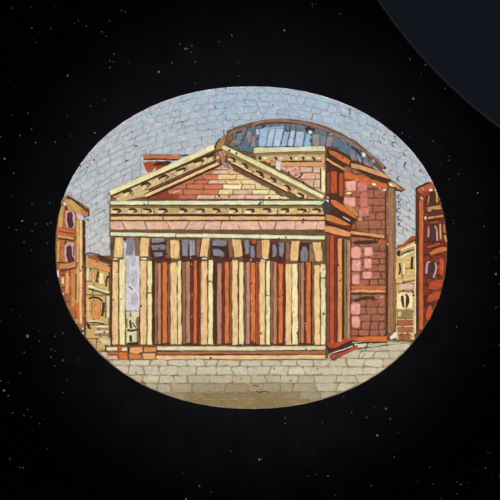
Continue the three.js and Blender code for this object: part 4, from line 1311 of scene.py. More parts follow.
class MOSAIC_OT_gable(bpy.types.Operator):
    """Lay the sloping rods, the brackets and the field of the gable"""
    bl_idname = "mosaic.gable"
    bl_label = "Gable"

    def execute(self, context):
        tray = Tray(90)
        lay(
            tray,
            ("straw", 1, 0.66, (-17.27, 6.64), (-11.14, 9.33), (-4.48, 12.31)),
            (("straw", "yellow", 0.4), 1, 0.61, (-3.57, 12.34), (2.54, 9.36), (8.83, 6.13)))
        tray.cut_to_depth(
            "gable_rods", ("rake_rod_left", "rake_rod_right"), drawn_glass(), THIN)
        tray = Tray(91)
        lay(
            tray,
            ("peach", 2, 0.42, (-13.03, 6.3), (-8.7, 8.21), (-3.99, 10.33)),
            ("peach", 2, 0.32, (-2.47, 10.5), (0.83, 8.84), (4.49, 6.91)))
        tray.cut_to_depth(
            "gable_fillets", ("rake_fillet_left", "rake_fillet_right"), drawn_glass(), THIN)
        tray = Tray(92)
        tray.field("rake_brackets_left", "tan", piece=1.6, tilt=24, slant=0.5, vary=0.08)
        tray.field("rake_brackets_right", "tan", piece=1.6, tilt=-26, slant=0.5, vary=0.08)
        for x, z in LEFT_HOOKS:
            hook(tray, x, z, LEFT_RAKE, LEFT_BRACKET)
        for x, z in RIGHT_HOOKS:
            hook(tray, x, z, RIGHT_RAKE, RIGHT_BRACKET)
        lay(tray, *GABLE_LINES)
        tray.cut_to_depth(
            "gable_brackets", ("rake_brackets_left", "rake_brackets_right"),
            drawn_glass(), THIN)
        tray = Tray(93)
        lay(tray, *APEX)
        tray.cut_to_depth("gable_apex", ("apex_stone",), drawn_glass())
        tray = Tray(94)
        tray.field("gable_field", gable_colour, 0.6, 2.1, vary=0.06, slant=0.3)
        lay(tray, *GABLE_CHIPS)
        tray.cut_to_depth("gable_tiles", ("gable_field",), cut_glass(), 0.06, 0.035, 16)
        return {"FINISHED"}


# Left ends of the brackets under the attic cornice.
ATTIC_BRACKETS = (0.9, 2.86, 4.74, 6.2, 7.47)


ATTIC = (
    ("olive", 1, 0.37, (0.34, 11.36), (4.74, 11.51), (9.01, 11.58)),
    ("tan", 1, 0.68, (0.59, 10.87), (4.74, 10.92), (9.01, 11.02)),
    ("apricot", 2, (1.51, 10.94), (2.35, 10.87), (2.37, 10.33), (1.69, 10.46)),
    (("orange", "tan", 0.5), 2, (2.39, 10.77), (2.86, 10.63), (2.88, 9.8), (2.3, 10.09)),
    ("umber", 3, 0.18, (2.61, 10.02), (2.96, 9.84)),
    ("sky_white", 2, (3.03, 10.65), (3.57, 10.46), (3.62, 9.36), (2.96, 9.65)),
    ("umber", 3, 0.16, (3.64, 10.5), (8.7, 10.55)),
    ("apricot", 2, 0.56, (3.69, 10.14), (8.94, 10.16)),
    ("pink", 2, (4.81, 9.53), (5.91, 9.6), (6.16, 9.23), (5.59, 8.67), (4.86, 8.82)),
    ("umber", 3, 0.16, (4.52, 9.43), (4.59, 8.82)),
    ("umber", 3, 0.17, (6.28, 9.16), (6.03, 8.67), (5.59, 8.43)),
    ("umber", 3, 0.2, (6.33, 8.09), (6.5, 7.89)),
    ("yellow", 2, 0.51, (8.79, 9.53), (8.82, 6.72)),
    ("umber", 3, 0.13, (8.48, 9.72), (8.5, 7.04)))
LOW_ROOF = (
    ("sky_lilac", -1, (-13.51, 11.33), (-12.36, 11.33), (-12.36, 8.99), (-13.51, 8.5)),
    ("orange", 0, 0.44, (-13.17, 11.07), (-11.14, 11.11), (-8.82, 11.04)),
    ("umber", 1, 0.15, (-13.14, 10.77), (-11.14, 10.8), (-8.87, 10.7)),
    ("rust", 0, (-13.29, 10.58), (-11.87, 10.53), (-11.63, 9.97), (-12.12, 9.31), (-12.65, 9.16),
        (-12.97, 9.6), (-13.14, 10.09)),
    ("sky_white", 1, (-13.34, 10.75), (-12.6, 10.63), (-12.85, 10.38), (-13.26, 10.41)),
    ("red", 0, (-11.8, 10.6), (-9.8, 10.58), (-10.16, 10.04), (-11.63, 9.43)),
    ("umber", 1, (-12.07, 10.21), (-11.14, 10.46), (-10.16, 10.58), (-9.67, 10.41), (-10.28, 10.02),
        (-11.75, 9.97)),
    ("white", 1, (-9.67, 10.28), (-9.31, 10.63), (-8.62, 10.63), (-9.06, 10.28), (-9.55, 10.09)),
    ("pit", 1, 0.18, (-8.57, 11.19), (-7.67, 11.33)))


class MOSAIC_OT_attic(bpy.types.Operator):
    """Lay the block behind the porch and the low roof"""
    bl_idname = "mosaic.attic"
    bl_label = "Attic"

    def execute(self, context):
        tray = Tray(100)
        outline = [
            (0.1, 11.92), (0.39, 12.24), (4.74, 12.29), (9.01, 12.43), (9.06, 11.8), (4.74, 11.73),
            (0.34, 11.53)]
        tray.piece(outline, "cream", 0, (1, 0), 0.02)
        tray.cut_to_depth("attic_cornice_rod", ("attic_cornice",), drawn_glass(), THIN)
        tray = Tray(101)
        tray.field("attic_wall", "blush", 0.9, 1.9, vary=0.04, slant=0.2)
        lay(tray, *ATTIC)
        for x in ATTIC_BRACKETS:
            lay(tray, ("umber", 2, 0.32, (x, 11.07), (x + 0.25, 10.85), (x + 0.1, 10.7)))
            lay(tray, ("yellow", 2, 0.32, (x + 0.5, 10.92), (x + 1.05, 10.94)))
        tray.cut_to_depth("attic_tiles", ("attic_wall",), cut_glass(), 0.08, 0.04, 18)
        tray = Tray(102)
        lay(tray, *LOW_ROOF)
        tray.cut_to_depth("low_roof", ("roof_behind",), drawn_glass())
        return {"FINISHED"}


# The side of the porch, the hall and the dome


SIDE_ENTABLATURE = (
    ("maroon", 1, (9.01, 5.94), (9.75, 5.94), (10.97, 4.59), (12.31, 3.13), (10.85, 3.13), (9.01, 4.1)),
    ("orange", 2, (9.62, 5.89), (10.36, 5.81), (11.58, 4.89), (12.97, 3.66), (12.68, 3.32), (11.46, 3.91),
        (9.92, 5.15)),
    ("apricot_deep", 1, (11.21, 5.37), (11.95, 5.25), (13.04, 4.23), (13.09, 3.69), (12.07, 4.23)),
    ("umber", 2, 0.42, (9.99, 4.91), (11.46, 4.03), (12.68, 3.35)),
    # A painted glint: a thin white line of painted highlight along the dark band.
    ("white", 3, 0.13, (11.21, 3.79), (12.07, 3.27)),
    ("glassy", 3, (8.65, 5.33), (9.18, 5.72), (9.75, 5.37), (9.99, 4.71), (9.5, 4.15), (8.89, 3.91)),
    ("umber", 2, 0.32, (9.62, 4.23), (10.85, 3.74), (12.19, 2.86)),
    (("orange", "apricot", 0.3), 2, (9.14, 4.1), (9.99, 3.93), (11.46, 3.22), (12.19, 2.71),
        (11.33, 2.71), (9.62, 3.2), (9.01, 3.44)),
    ("umber", 3, 0.29, (9.06, 3), (10.36, 2.61), (11.75, 2.17)),
    (("orange", "apricot", 0.6), 2, (8.89, 2.74), (10.24, 2.49), (12.12, 1.91), (12.14, 1.29),
        (10.6, 1.54), (8.89, 1.98)),
    ("white", 3, (8.82, 5.86), (9.43, 5.84), (9.55, 5.45), (8.94, 5.37)),
    ("blush", 3, (9.21, 6.3), (9.5, 6.23), (9.5, 5.96), (9.23, 5.98)))
SIDE_STEPS = (
    ("umber", 0, (9.26, -12.02), (10.85, -11.53), (12.8, -11.41), (16.59, -11.41), (16.46, -12.09),
        (13.04, -12.09), (11.09, -12.51), (10.24, -12.82), (9.38, -12.63)),
    ("red_bright", 1, (9.33, -11.73), (11.46, -11.09), (12.68, -10.72), (12.97, -11.04), (11.7, -11.58),
        (10.24, -12.31), (9.5, -12.21)),
    ("orange", 1, (12.8, -10.89), (14.75, -10.8), (16.66, -10.8), (16.59, -11.48), (14.63, -11.53),
        (12.92, -11.48)),
    ("white", 1, 0.16, (9.99, -12.82), (11.21, -12.46), (12.43, -12.02)),
    (("rust", "red_bright", 0.4), 1, (9.55, -13.36), (9.99, -13.04), (11.46, -12.68), (12.92, -11.85),
        (13.17, -12.07), (11.95, -12.95), (10.48, -13.44), (9.75, -13.66)),
    ("umber", 1, 0.17, (12.92, -12.43), (13.46, -12.19)))
CORNER_PIER = (
    ("plum", 1, 0.42, (9.43, 9.23), (9.43, 6.55)),
    ("rust", 1, 0.81, (10.11, 9.36), (10.09, 6.62)),
    ("maroon", 1, (9.5, 10.46), (9.99, 10.14), (10.36, 9.48), (9.62, 9.4), (9.26, 9.84)),
    ("rust", 1, 0.54, (11.02, 9.11), (10.99, 6.23)),
    ("maroon", 1, (9.21, 6.47), (10.53, 6.47), (11.21, 5.37), (10.72, 5.45), (9.75, 6.01)),
    ("apricot", 2, 0.29, (9.18, 10.87), (10.11, 10.26), (11.51, 9.5)),
    ("umber", 2, 0.17, (9.09, 10.58), (10.11, 9.97), (11.09, 9.31)))
ROOF_EDGE = (
    ("umber", 0, (9.26, 11.92), (9.75, 11.97), (12.07, 10.65), (16.95, 8.5), (16.83, 7.77), (14.02, 8.55),
        (11.58, 9.31), (9.62, 10.63)),
    ("orange", 1, (9.33, 11.99), (10.24, 11.75), (11.33, 11.16), (12.19, 10.65), (11.99, 10.04),
        (11.21, 10.43), (9.62, 11.38)),
    ("umber", 2, 0.13, (11.33, 11.19), (11.04, 10.77)),
    ("apricot", 2, (12.19, 10.33), (13.9, 9.94), (15.73, 9.33), (16.71, 8.77), (17, 8.33), (16.1, 8.6),
        (14.02, 9.31), (12.19, 9.77)),
    ("white", 1, (16.71, 7.96), (17.2, 7.84), (17.69, 7.35), (16.95, 7.52)),
    (("apricot", "tan", 0.4), 1, (16.9, 8.18), (17.51, 7.91), (18.3, 7.23), (18.74, 6.94), (17.93, 7.13),
        (17.2, 7.67)))


class MOSAIC_OT_flank(bpy.types.Operator):
    """Lay the side of the porch: pier, slanted cornices and steps"""
    bl_idname = "mosaic.flank"
    bl_label = "Side of the porch"

    def execute(self, context):
        tray = Tray(110)
        left, right, low, high = box_of("flank_pier")
        tray.block((left, low + 0.3), (right + 0.1, high), "umber", -1)
        for name, start, end, top in (
                ("plum", 9.18, 9.58, 1.66), ("rust", 9.6, 10.14, 1.54),
                ("wine", 10.16, 10.48, 1.42), ("apricot_deep", 10.55, 11.11, 1.17),
                ("olive", 11.36, 11.68, 1.05), ("rose", 11.7, 12.12, 0.93)):
            foot = -11.97 + 0.33 * (start - left)
            tray.block((start, foot), (end, top), name, 1, 0.03, False, (0, 1))
        tray.cut_to_depth("side_pier", ("flank_pier",), drawn_glass(), None, 0.03, 10)
        tray = Tray(111)
        left, _, low, high = box_of("flank_entablature")
        tray.block((left, low), (12.19, high - 0.1), "wine", 0)
        lay(tray, *SIDE_ENTABLATURE)
        tray.cut_to_depth(
            "side_entablature", ("flank_entablature",), drawn_glass(), None, 0.035, 10)
        tray = Tray(112)
        lay(tray, *SIDE_STEPS)
        tray.cut_to_depth(
            "side_steps", ("flank_upper_step", "flank_lower_step"), drawn_glass(), None,
            0.035, 10)
        tray = Tray(113)
        left, right, low, high = box_of("corner_pier")
        tray.block((left, low), (right, high), "umber", 0)
        lay(tray, *CORNER_PIER)
        tray.cut_to_depth(
            "corner_pier_rods", ("corner_pier",), drawn_glass(), None, 0.03, 10)
        tray = Tray(114)
        lay(tray, *ROOF_EDGE)
        tray.cut_to_depth("roof_edge_rods", ("roof_edge",), drawn_glass(), None, 0.03, 10)
        return {"FINISHED"}


# Pale chips down the right edge of the upper wall.
WALL_CHIPS = 14
# Lit tiles of the lower wall, by two opposite corners.
LIT_TILES = (
    ((12.21, 0.07), (13.44, -1.34)), ((13.78, 0.07), (14.88, -1.05)), ((12.29, -1.47), (13.41, -2.91)),
    ((13.78, -1.29), (14.75, -2.56)), ((12.29, -3.22), (13.31, -4.52)), ((13.58, -2.91), (14.78, -3.84)),
    ((12.17, -6.77), (13.34, -8.21)), ((12.26, -8.35), (13.29, -9.82)))


UPPER_WALL = (
    (("orange", "rust", 0.4), 1, (11.41, 9.36), (14.02, 8.62), (16.64, 7.82), (16.64, 6.96),
        (14.51, 7.69), (13.04, 8.09), (11.41, 8.43)),
    ("pink", 1, (11.51, 8.09), (12.8, 8.18), (12.85, 6.96), (11.58, 6.86)),
    ("coral_pink", 1, (12.97, 7.96), (14.14, 8.01), (14.22, 6.94), (13.04, 6.86)),
    ("yellow", 2, (11.58, 6.82), (12.24, 6.84), (12.24, 6.5), (11.63, 6.5)),
    (("brick", "rust", 0.5), 1, (12.31, 6.82), (13, 6.79), (12.97, 6.11), (12.19, 6.25)),
    ("pink", 1, (11.33, 6.18), (12.73, 6.23), (12.8, 5.01), (11.82, 4.84), (11.29, 5.37)),
    ("coral_pink", 1, (13.29, 6.72), (14.22, 6.74), (14.34, 5.03), (13.29, 4.84)),
    ("coral_pink", 1, (13.04, 4.76), (14.44, 4.96), (14.39, 3.81), (13.17, 3.66)),
    ("umber", 2, 0.17, (13.95, 3.69), (14.51, 3.81)),
    ("apricot", 1, (13, 3.66), (13.73, 3.59), (13.53, 3.25), (13.04, 3.3)),
    ("brown", 1, 0.32, (16.64, 6.3), (16.64, 1.42)),
    ("white", 2, 0.2, (12.75, 8.26), (12.97, 8.18)),
    ("white", 2, (14.68, 7.89), (15.24, 7.91), (15.32, 7.6), (14.83, 7.52)),
    ("white", 2, 0.16, (15.56, 7.23), (15.8, 7.18)),
    ("white", 2, (15.98, 7.16), (16.46, 7.21), (16.51, 6.91), (16.1, 6.94)))
LOWER_WALL = (
    (("orange", "brick", 0.4), 1, 0.49, (12.19, -4.86), (16.46, -4.86)),
    ("apricot", 2, 0.34, (12.14, -5.33), (16.46, -5.33)),
    ("umber", 1, 0.24, (12.14, -5.64), (16.46, -5.64)),
    ("slate", 1, (12.31, -5.84), (13.29, -5.84), (13.17, -6.16), (12.31, -6.2)),
    ("umber", 1, (12.31, -6.47), (13.04, -6.16), (14.02, -5.91), (15.12, -5.96), (15.12, -6.33),
        (14.02, -6.28), (13.04, -6.64)),
    ("lilac_grey", 1, (15.61, -5.91), (16.22, -5.81), (16.22, -6.16), (15.73, -6.2)),
    ("orange", 1, (15.37, -6.35), (16.34, -6.33), (16.34, -6.69), (15.37, -6.69)))


class MOSAIC_OT_hall(bpy.types.Operator):
    """Lay the round hall: brick courses, cornices and shaded edge"""
    bl_idname = "mosaic.hall"
    bl_label = "Hall"

    def execute(self, context):
        given = sizes()
        course, piece = given.brick_course / MM, given.brick_piece / MM
        tray = Tray(120)
        tray.field("drum_upper_wall", "brick", course * 0.8, piece, vary=0.05, slant=0.06)
        lay(tray, *UPPER_WALL)
        for _ in range(WALL_CHIPS):
            chip = (16.66 + tray.random.uniform(-0.12, 0.12), tray.random.uniform(0.2, 6.79))
            tray.piece(arc(chip, (0.1, 0.16), 0, 290, 5), "blush", 2)
        tray.flecks(30, ("blush", "umber", "white", "rust"), 0.05, 0.11)
        tray.cut_to_depth(
            "hall_upper_wall", ("drum_upper_wall",), wall_glass(), 0.07, 0.05, 34)
        tray = Tray(121)
        tray.field("drum_lower_wall", "brick", course * 0.72, piece, vary=0.05, slant=0.06)
        lay(
            tray,
            ("umber", 1, (12.43, 0.81), (13.9, 0.93), (15.49, 0.88), (15.49, 0.49), (14.02, 0.39),
                (12.56, 0.32)),
            (("rust", "brick", 0.5), 1, (15.49, 1.05), (16.46, 0.93), (16.46, 0.32), (15.49, 0.32)))
        for corner, opposite in LIT_TILES:
            tray.block(corner, opposite, "pink", 1, 0.03)
        lay(tray, *LOWER_WALL)
        tray.cut_to_depth(
            "hall_lower_wall", ("drum_lower_wall",), wall_glass(), 0.07, 0.05, 38)
        tray = Tray(122)
        lay(
            tray,
            ("apricot", 1, 0.42, (12.12, 1.86), (14.27, 1.61), (16.29, 1.29)),
            ("umber", 0, 0.24, (12.14, 1.54), (14.27, 1.27), (16.22, 0.95)),
            (("brick", "rust", 0.4), 0, 0.37, (12.19, 1.17), (14.27, 1), (15.49, 0.9)))
        tray.cut_to_depth("hall_cornice", ("drum_cornice",), drawn_glass(), THIN)
        tray = Tray(123)
        tray.field("drum_step", "orange", None, given.rod_piece / MM, vary=0.05)
        tray.cut_to_depth("hall_step", ("drum_step",), drawn_glass(), THIN)
        tray = Tray(124)
        lay(
            tray,
            ("mauve", 0, 0.73, (17.08, 7.28), (17.08, -1.51), (17, -10.55)),
            ("olive", 1, 0.27, (17.56, 6.55), (17.56, -1.76), (17.51, -10.19)),
            ("umber", 0, 0.15, (16.64, 0.44), (16.64, -10.55)))
        tray.cut_to_depth("hall_edge", ("drum_shaded_edge",), drawn_glass(), THIN)
        return {"FINISHED"}


# Leaning strips of the dome: colour and the left and right ends at the foot and at the top.
DOME_STRIPS = (
    ("dome_light", 0.9, 1.73, 1.03, 2.17), ("dome_pale", 1.81, 2.54, 2.25, 2.98),
    ("dome_pale", 2.64, 3.49, 3.08, 4.01), ("dome_light", 3.57, 4.32, 4.1, 4.74),
    ("dome_pale", 4.4, 5.08, 4.81, 5.42), ("dome_pale", 5.18, 6.28, 5.55, 6.57),
    ("dome_blue", 6.38, 7.3, 6.64, 7.38), ("dome_mauve", 7.43, 8.28, 7.47, 8.35),
    ("dome_grey", 8.35, 9.01, 8.43, 9.26), ("dome_mauve", 9.09, 9.75, 9.33, 10.11))


DOME = (
    ("dome_light", 1, (1.32, 14.66), (4.01, 14.93), (4.06, 14.61), (1.37, 14.36)),
    ("dome_pale", 2, (0.51, 14.49), (0.9, 14.53), (1.03, 13.92), (0.64, 13.63)),
    ("dome_mauve", 1, (-2.47, 12.95), (-1.86, 13.19), (-1.05, 13.02), (-1.61, 12.68)),
    ("dome_mauve", 1, (-0.56, 14.19), (-0.07, 14.29), (0.1, 13.14), (-0.22, 12.65), (-0.59, 13.26)),
    ("dome_mauve", 1, (0.1, 13.7), (0.54, 13.63), (0.59, 12.29), (0.02, 12.29)),
    ("pit", 2, 0.17, (-1.81, 14), (-1.05, 14.22)),
    ("dome_teal", 2, (-2.71, 12.41), (-1, 11.99), (-0.22, 11.55), (0.34, 11.73), (0.22, 12.21),
        (-1.37, 12.53)),
    ("pit", 2, (1.32, 14.78), (1.69, 14.97), (1.88, 14.8), (1.44, 14.61)),
    ("pit", 2, 0.22, (4.13, 14.41), (4.42, 14.17), (4.81, 14.39)),
    ("pit", 2, 0.21, (3.64, 12.97), (3.69, 12.7)),
    ("pit", 2, 0.18, (4.25, 12.38), (4.67, 12.38)),
    ("pit", 2, (6.52, 14.61), (7.06, 14.73), (7.79, 14.56), (7.67, 14.24), (6.94, 14.39), (6.86, 13.88)),
    ("white", 2, (6.94, 14.31), (7.38, 14.36), (7.43, 13.92), (7.01, 13.92)),
    ("pit", 2, 0.2, (7.18, 13.83), (7.43, 13.73)),
    ("dome_teal", 1, (10.36, 13.51), (11.33, 12.85), (12.02, 12.29), (11.82, 11.36), (10.6, 11.92)),
    ("dome_grey", 1, (12.14, 12.04), (12.8, 11.55), (13.04, 10.58), (12.31, 10.65), (12.02, 11.24)),
    ("dome_pale_grey", 1, (12.87, 11.48), (13.29, 11.07), (13.58, 10.26), (13.14, 10.5)),
    ("pit", 1, 0.24, (12.19, 12.34), (12.92, 11.85), (13.48, 11.26)),
    ("dome_mauve", 1, (13.61, 10.87), (14.27, 10.46), (14.75, 9.72), (13.78, 10.14)),
    ("dome_pale_grey", 1, (14.51, 10.28), (15.24, 9.8), (15.8, 9.31), (15, 9.6)))
DOME_RIM = (
    ("dome_edge", 1, 0.27, (-2.83, 13.68), (-2.35, 14.07), (-1.73, 14.34), (-0.56, 14.61)),
    ("dome_edge", 1, 0.37, (0.17, 14.66), (0.34, 15.12), (1.32, 15.41), (2.91, 15.54), (4.74, 15.46),
        (6.33, 15.24), (8.16, 14.73), (9.87, 14.05)),
    ("dome_edge", 1, 0.39, (9.82, 14.07), (11.33, 13.34), (12.8, 12.41), (14.27, 11.51), (15.49, 10.63),
        (16.46, 9.55)),
    ("white", 2, (13.41, 11.63), (13.85, 11.68), (14.07, 11.19), (13.66, 11.02)),
    ("blush", 2, (14.63, 10.77), (15.07, 10.72), (15.19, 10.33), (14.75, 10.41)),
    ("blush", 2, (9.55, 14.02), (9.87, 13.92), (9.87, 13.68), (9.62, 13.75)))


class MOSAIC_OT_dome(bpy.types.Operator):
    """Lay the dome: leaning strips of glass under a rim"""
    bl_idname = "mosaic.dome"
    bl_label = "Dome"

    def execute(self, context):
        tray = Tray(130)
        tray.field(
            "dome", ("dome_teal", "dome_grey", 0.35), None, 0.9, slant=0.1, vary=0.12, tilt=-14,
            loose=0.3)
        for name, foot_left, foot_right, top_left, top_right in DOME_STRIPS:
            rise = 0.16 * abs(top_left) - 0.55 if top_left > 4 else 0
            top = 14.53 - max(rise, 0)
            tray.piece(
                [(foot_left, 12.34), (foot_right, 12.34), (top_right, top), (top_left, top)],
                name, 1, (0.15, 1), 0.05)
        lay(tray, *DOME)
        tray.cut_to_depth("dome_glass", ("dome",), cut_glass(), 0.09, 0.04, 18)
        tray = Tray(131)
        lay(tray, *DOME_RIM)
        tray.cut_to_depth("dome_rim_rods", ("dome_rim",), drawn_glass(), THIN)
        return {"FINISHED"}


# The houses


LEFT_TOWER_TOP = (
    ("amber", 1, (-23.11, 5.33), (-22.82, 4.84), (-22.99, 2.52), (-23.65, 2.39), (-23.52, 4.1)),
    ("rust", 2, 0.2, (-22.77, 4.96), (-22.91, 3.86), (-22.94, 2.27)),
    ("amber", 2, (-22.74, 5.94), (-22.01, 5.89), (-20.67, 4.89), (-19.93, 4.18), (-20.06, 3.81),
        (-20.54, 3.86), (-21.4, 4.35), (-22.38, 4.71), (-22.79, 5.45)),
    (("amber", "rose", 0.5), 3, (-20.91, 4.71), (-19.98, 4.25), (-20.06, 3.84), (-20.67, 3.98)),
    ("umber", 3, 0.2, (-22.5, 6.06), (-21.96, 6.01), (-20.79, 5.08), (-19.88, 4.35)),
    ("wine", 3, 0.27, (-20.54, 4.76), (-19.93, 4.42)),
    ("white", 3, (-23.06, 5.57), (-22.67, 5.62), (-22.45, 5.2), (-22.86, 5.08)),
    ("umber", 2, (-22.74, 5.08), (-22.5, 5.15), (-22.38, 4.71), (-22.69, 4.54)),
    ("sky_white", 1, (-21.4, 4.35), (-20.91, 4.23), (-20.42, 3.69), (-20.18, 3.37), (-20.54, 3.37),
        (-21.28, 3.49)),
    ("lilac", 2, (-22.74, 4.35), (-22.25, 4.67), (-21.77, 4.47), (-21.47, 3.98), (-21.47, 2.88),
        (-21.64, 2.27), (-22.62, 2.32), (-22.82, 3.37)),
    ("plum_dark", 3, (-22.5, 4.18), (-22.01, 4.42), (-21.77, 4.06), (-21.81, 3.42), (-21.64, 2.76),
        (-21.89, 2.35), (-22.3, 2.39), (-22.55, 3.37)),
    ("sky_white", 2, (-23.89, 5.45), (-23.23, 6.3), (-22.86, 6.5), (-23.18, 5.33)))
LEFT_TOWER = (
    ("amber", 1, 0.42, (-21.18, 3.42), (-21.18, -1.76), (-21.28, -9.33)),
    ("peach", 1, 0.37, (-20.79, 3.42), (-20.81, -1.76), (-20.86, -9.33)),
    ("umber", 1, 0.27, (-20.5, 3.44), (-20.47, -0.29), (-20.42, -1.76)),
    ("plum", 1, 0.27, (-20.42, -1.76), (-20.37, -6.89)),
    ("orange", 1, (-23.72, 2.32), (-22.86, 2.27), (-21.52, 2.03), (-21.52, 1.49), (-22.62, 1.54),
        (-23.84, 1.66)),
    ("wine", 2, 0.2, (-23.52, 2.03), (-22.62, 1.81), (-21.57, 1.71)),
    ("apricot", 2, 0.32, (-23.67, 1.34), (-22.62, 1.29), (-21.64, 1.1)),
    ("umber", 2, 0.17, (-23.6, 1.05), (-22.62, 1), (-21.64, 0.83)),
    ("amber", 1, 0.37, (-23.55, 0.81), (-23.6, -1.76)),
    (("orange", "brown", 0.4), 1, 0.37, (-23.11, 0.81), (-23.16, -1.76)),
    ("lilac", 2, (-22.82, 0.2), (-22.5, 0.71), (-21.77, 0.68), (-21.47, 0.07), (-21.4, -1.27),
        (-21.64, -1.88), (-22.74, -1.76), (-22.89, -0.78)),
    ("plum_dark", 3, (-22.57, 0.07), (-22.13, 0.37), (-21.89, 0.07), (-21.89, -1.03), (-21.57, -1.27),
        (-21.64, -1.76), (-22.38, -1.83), (-22.62, -0.9)),
    ("umber", 3, 0.16, (-21.67, 0.24), (-21.64, -1.03)),
    ("apricot_deep", 1, 0.61, (-23.35, -2.25), (-22.38, -2.3), (-21.45, -2)),
    ("umber", 2, 0.2, (-23.3, -2.83), (-22.13, -2.61), (-21.33, -2.42), (-21.25, -1.76)),
    ("rust", 1, (-23.35, -2.93), (-22.74, -2.86), (-22.86, -3.42), (-23.28, -3.47)),
    ("cream", 1, (-23.23, -3.64), (-22.86, -3.59), (-22.82, -4.45), (-23.16, -4.52)),
    ("apricot_deep", 1, 0.51, (-22.47, -3.03), (-22.5, -5.67)),
    ("rust", 2, 0.24, (-22.13, -4.69), (-22.18, -5.74)),
    (("orange", "apricot", 0.5), 1, 0.54, (-21.79, -2.98), (-21.79, -7.38)),
    ("brown", 2, 0.2, (-21.4, -3.22), (-21.4, -6.4)),
    ("orange", 1, (-22.01, -7.38), (-21.03, -6.52), (-20.98, -8.6), (-21.4, -8.84)),
    ("rust", 2, 0.22, (-21.52, -7.62), (-21.35, -8.72)),
    ("white", 2, 0.22, (-23.67, -2.74), (-23.55, -3.59)),
    ("white", 2, 0.2, (-23.04, -5.5), (-22.91, -5.79)),
    ("white", 2, 0.24, (-20.62, -9.77), (-20.5, -10.06)),
    ("white", 2, 0.24, (-20.59, -10.38), (-20.5, -10.58)))
LEFT_HOUSE = (
    (("brown", "rust", 0.4), 1, (-19.98, -0.9), (-19.08, -0.85), (-17.12, -1.71), (-17.12, -2.2),
        (-18.71, -1.71), (-19.93, -1.32)),
    ("maroon", 2, (-19, -0.9), (-17.12, -1.64), (-17.12, -2), (-18.47, -1.59)),
    ("umber", 2, 0.15, (-20.1, -0.59), (-18.83, -0.83), (-17.08, -1.66)),
    ("apricot_deep", 1, (-19.93, -1.44), (-18.71, -1.86), (-17.17, -2.37), (-17.2, -3.1), (-18.71, -2.69),
        (-19.93, -2.08)),
    ("cream", 1, 0.32, (-19.96, -2.37), (-19.98, -4.13)),
    ("umber", 2, 0.13, (-19.64, -2.37), (-19.64, -2.93)),
    ("apricot", 1, 0.51, (-19.32, -2.81), (-19.3, -4.32)),
    ("umber", 2, 0.21, (-18.59, -3.1), (-18.76, -2.96), (-18.86, -3.59), (-18.86, -4.27)),
    ("yellow", 1, 0.61, (-18.27, -3.1), (-18.27, -4.49)),
    ("umber", 2, 0.22, (-17.37, -3.59), (-17.54, -3.47), (-17.71, -4.03), (-17.73, -4.81)),
    ("cream", 2, 0.32, (-20.01, -4.64), (-18.83, -5.01), (-17.3, -5.47)),
    ("umber", 2, 0.16, (-19.93, -5.01), (-18.71, -5.35), (-17.37, -5.79)),
    ("umber", 1, 0.27, (-19.86, -6.28), (-19.32, -6.03), (-18.71, -6.16), (-18.17, -6.6)),
    ("maroon", 1, 0.37, (-18.05, -6.64), (-18, -7.26), (-18.15, -7.87), (-18.25, -8.43)),
    ("apricot_deep", 1, (-19.57, -6.52), (-18.96, -6.35), (-18.39, -6.77), (-18.35, -7.87),
        (-18.47, -8.72), (-19.52, -8.72)),
    ("olive", 2, 0.13, (-19.49, -6.64), (-19.52, -8.23)),
    ("peach", 1, 0.34, (-19.91, -6.52), (-19.93, -8.43)),
    ("cream", 1, 0.34, (-17.47, -5.86), (-17.49, -8.6)),
    ("olive", 2, 0.15, (-17.76, -5.74), (-17.78, -8.6)),
    ("cream", 1, 0.17, (-19.88, -8.94), (-18.83, -8.99), (-17.98, -9.14)),
    ("umber", 2, 0.16, (-19.81, -9.16), (-18.71, -9.18), (-17.86, -9.36)),
    ("umber", 1, (-20.18, -8.97), (-19.81, -9.16), (-19.62, -9.89), (-19.93, -9.94)),
    ("cream", 1, 0.29, (-18.96, -9.65), (-17.37, -9.62)),
    ("olive", 2, 0.15, (-18.96, -9.94), (-17.49, -9.94)),
    ("cream", 1, 0.34, (-19.15, -10.28), (-17.37, -10.28)),
    ("olive", 2, 0.18, (-19.2, -10.68), (-17.49, -10.68)),
    ("straw", 1, (-18.71, -10.97), (-17.2, -10.92), (-17.17, -12.02), (-18.35, -11.73)),
    ("wine", 1, 0.18, (-17, -1.76), (-17.05, -6.4), (-17.12, -12.02)))
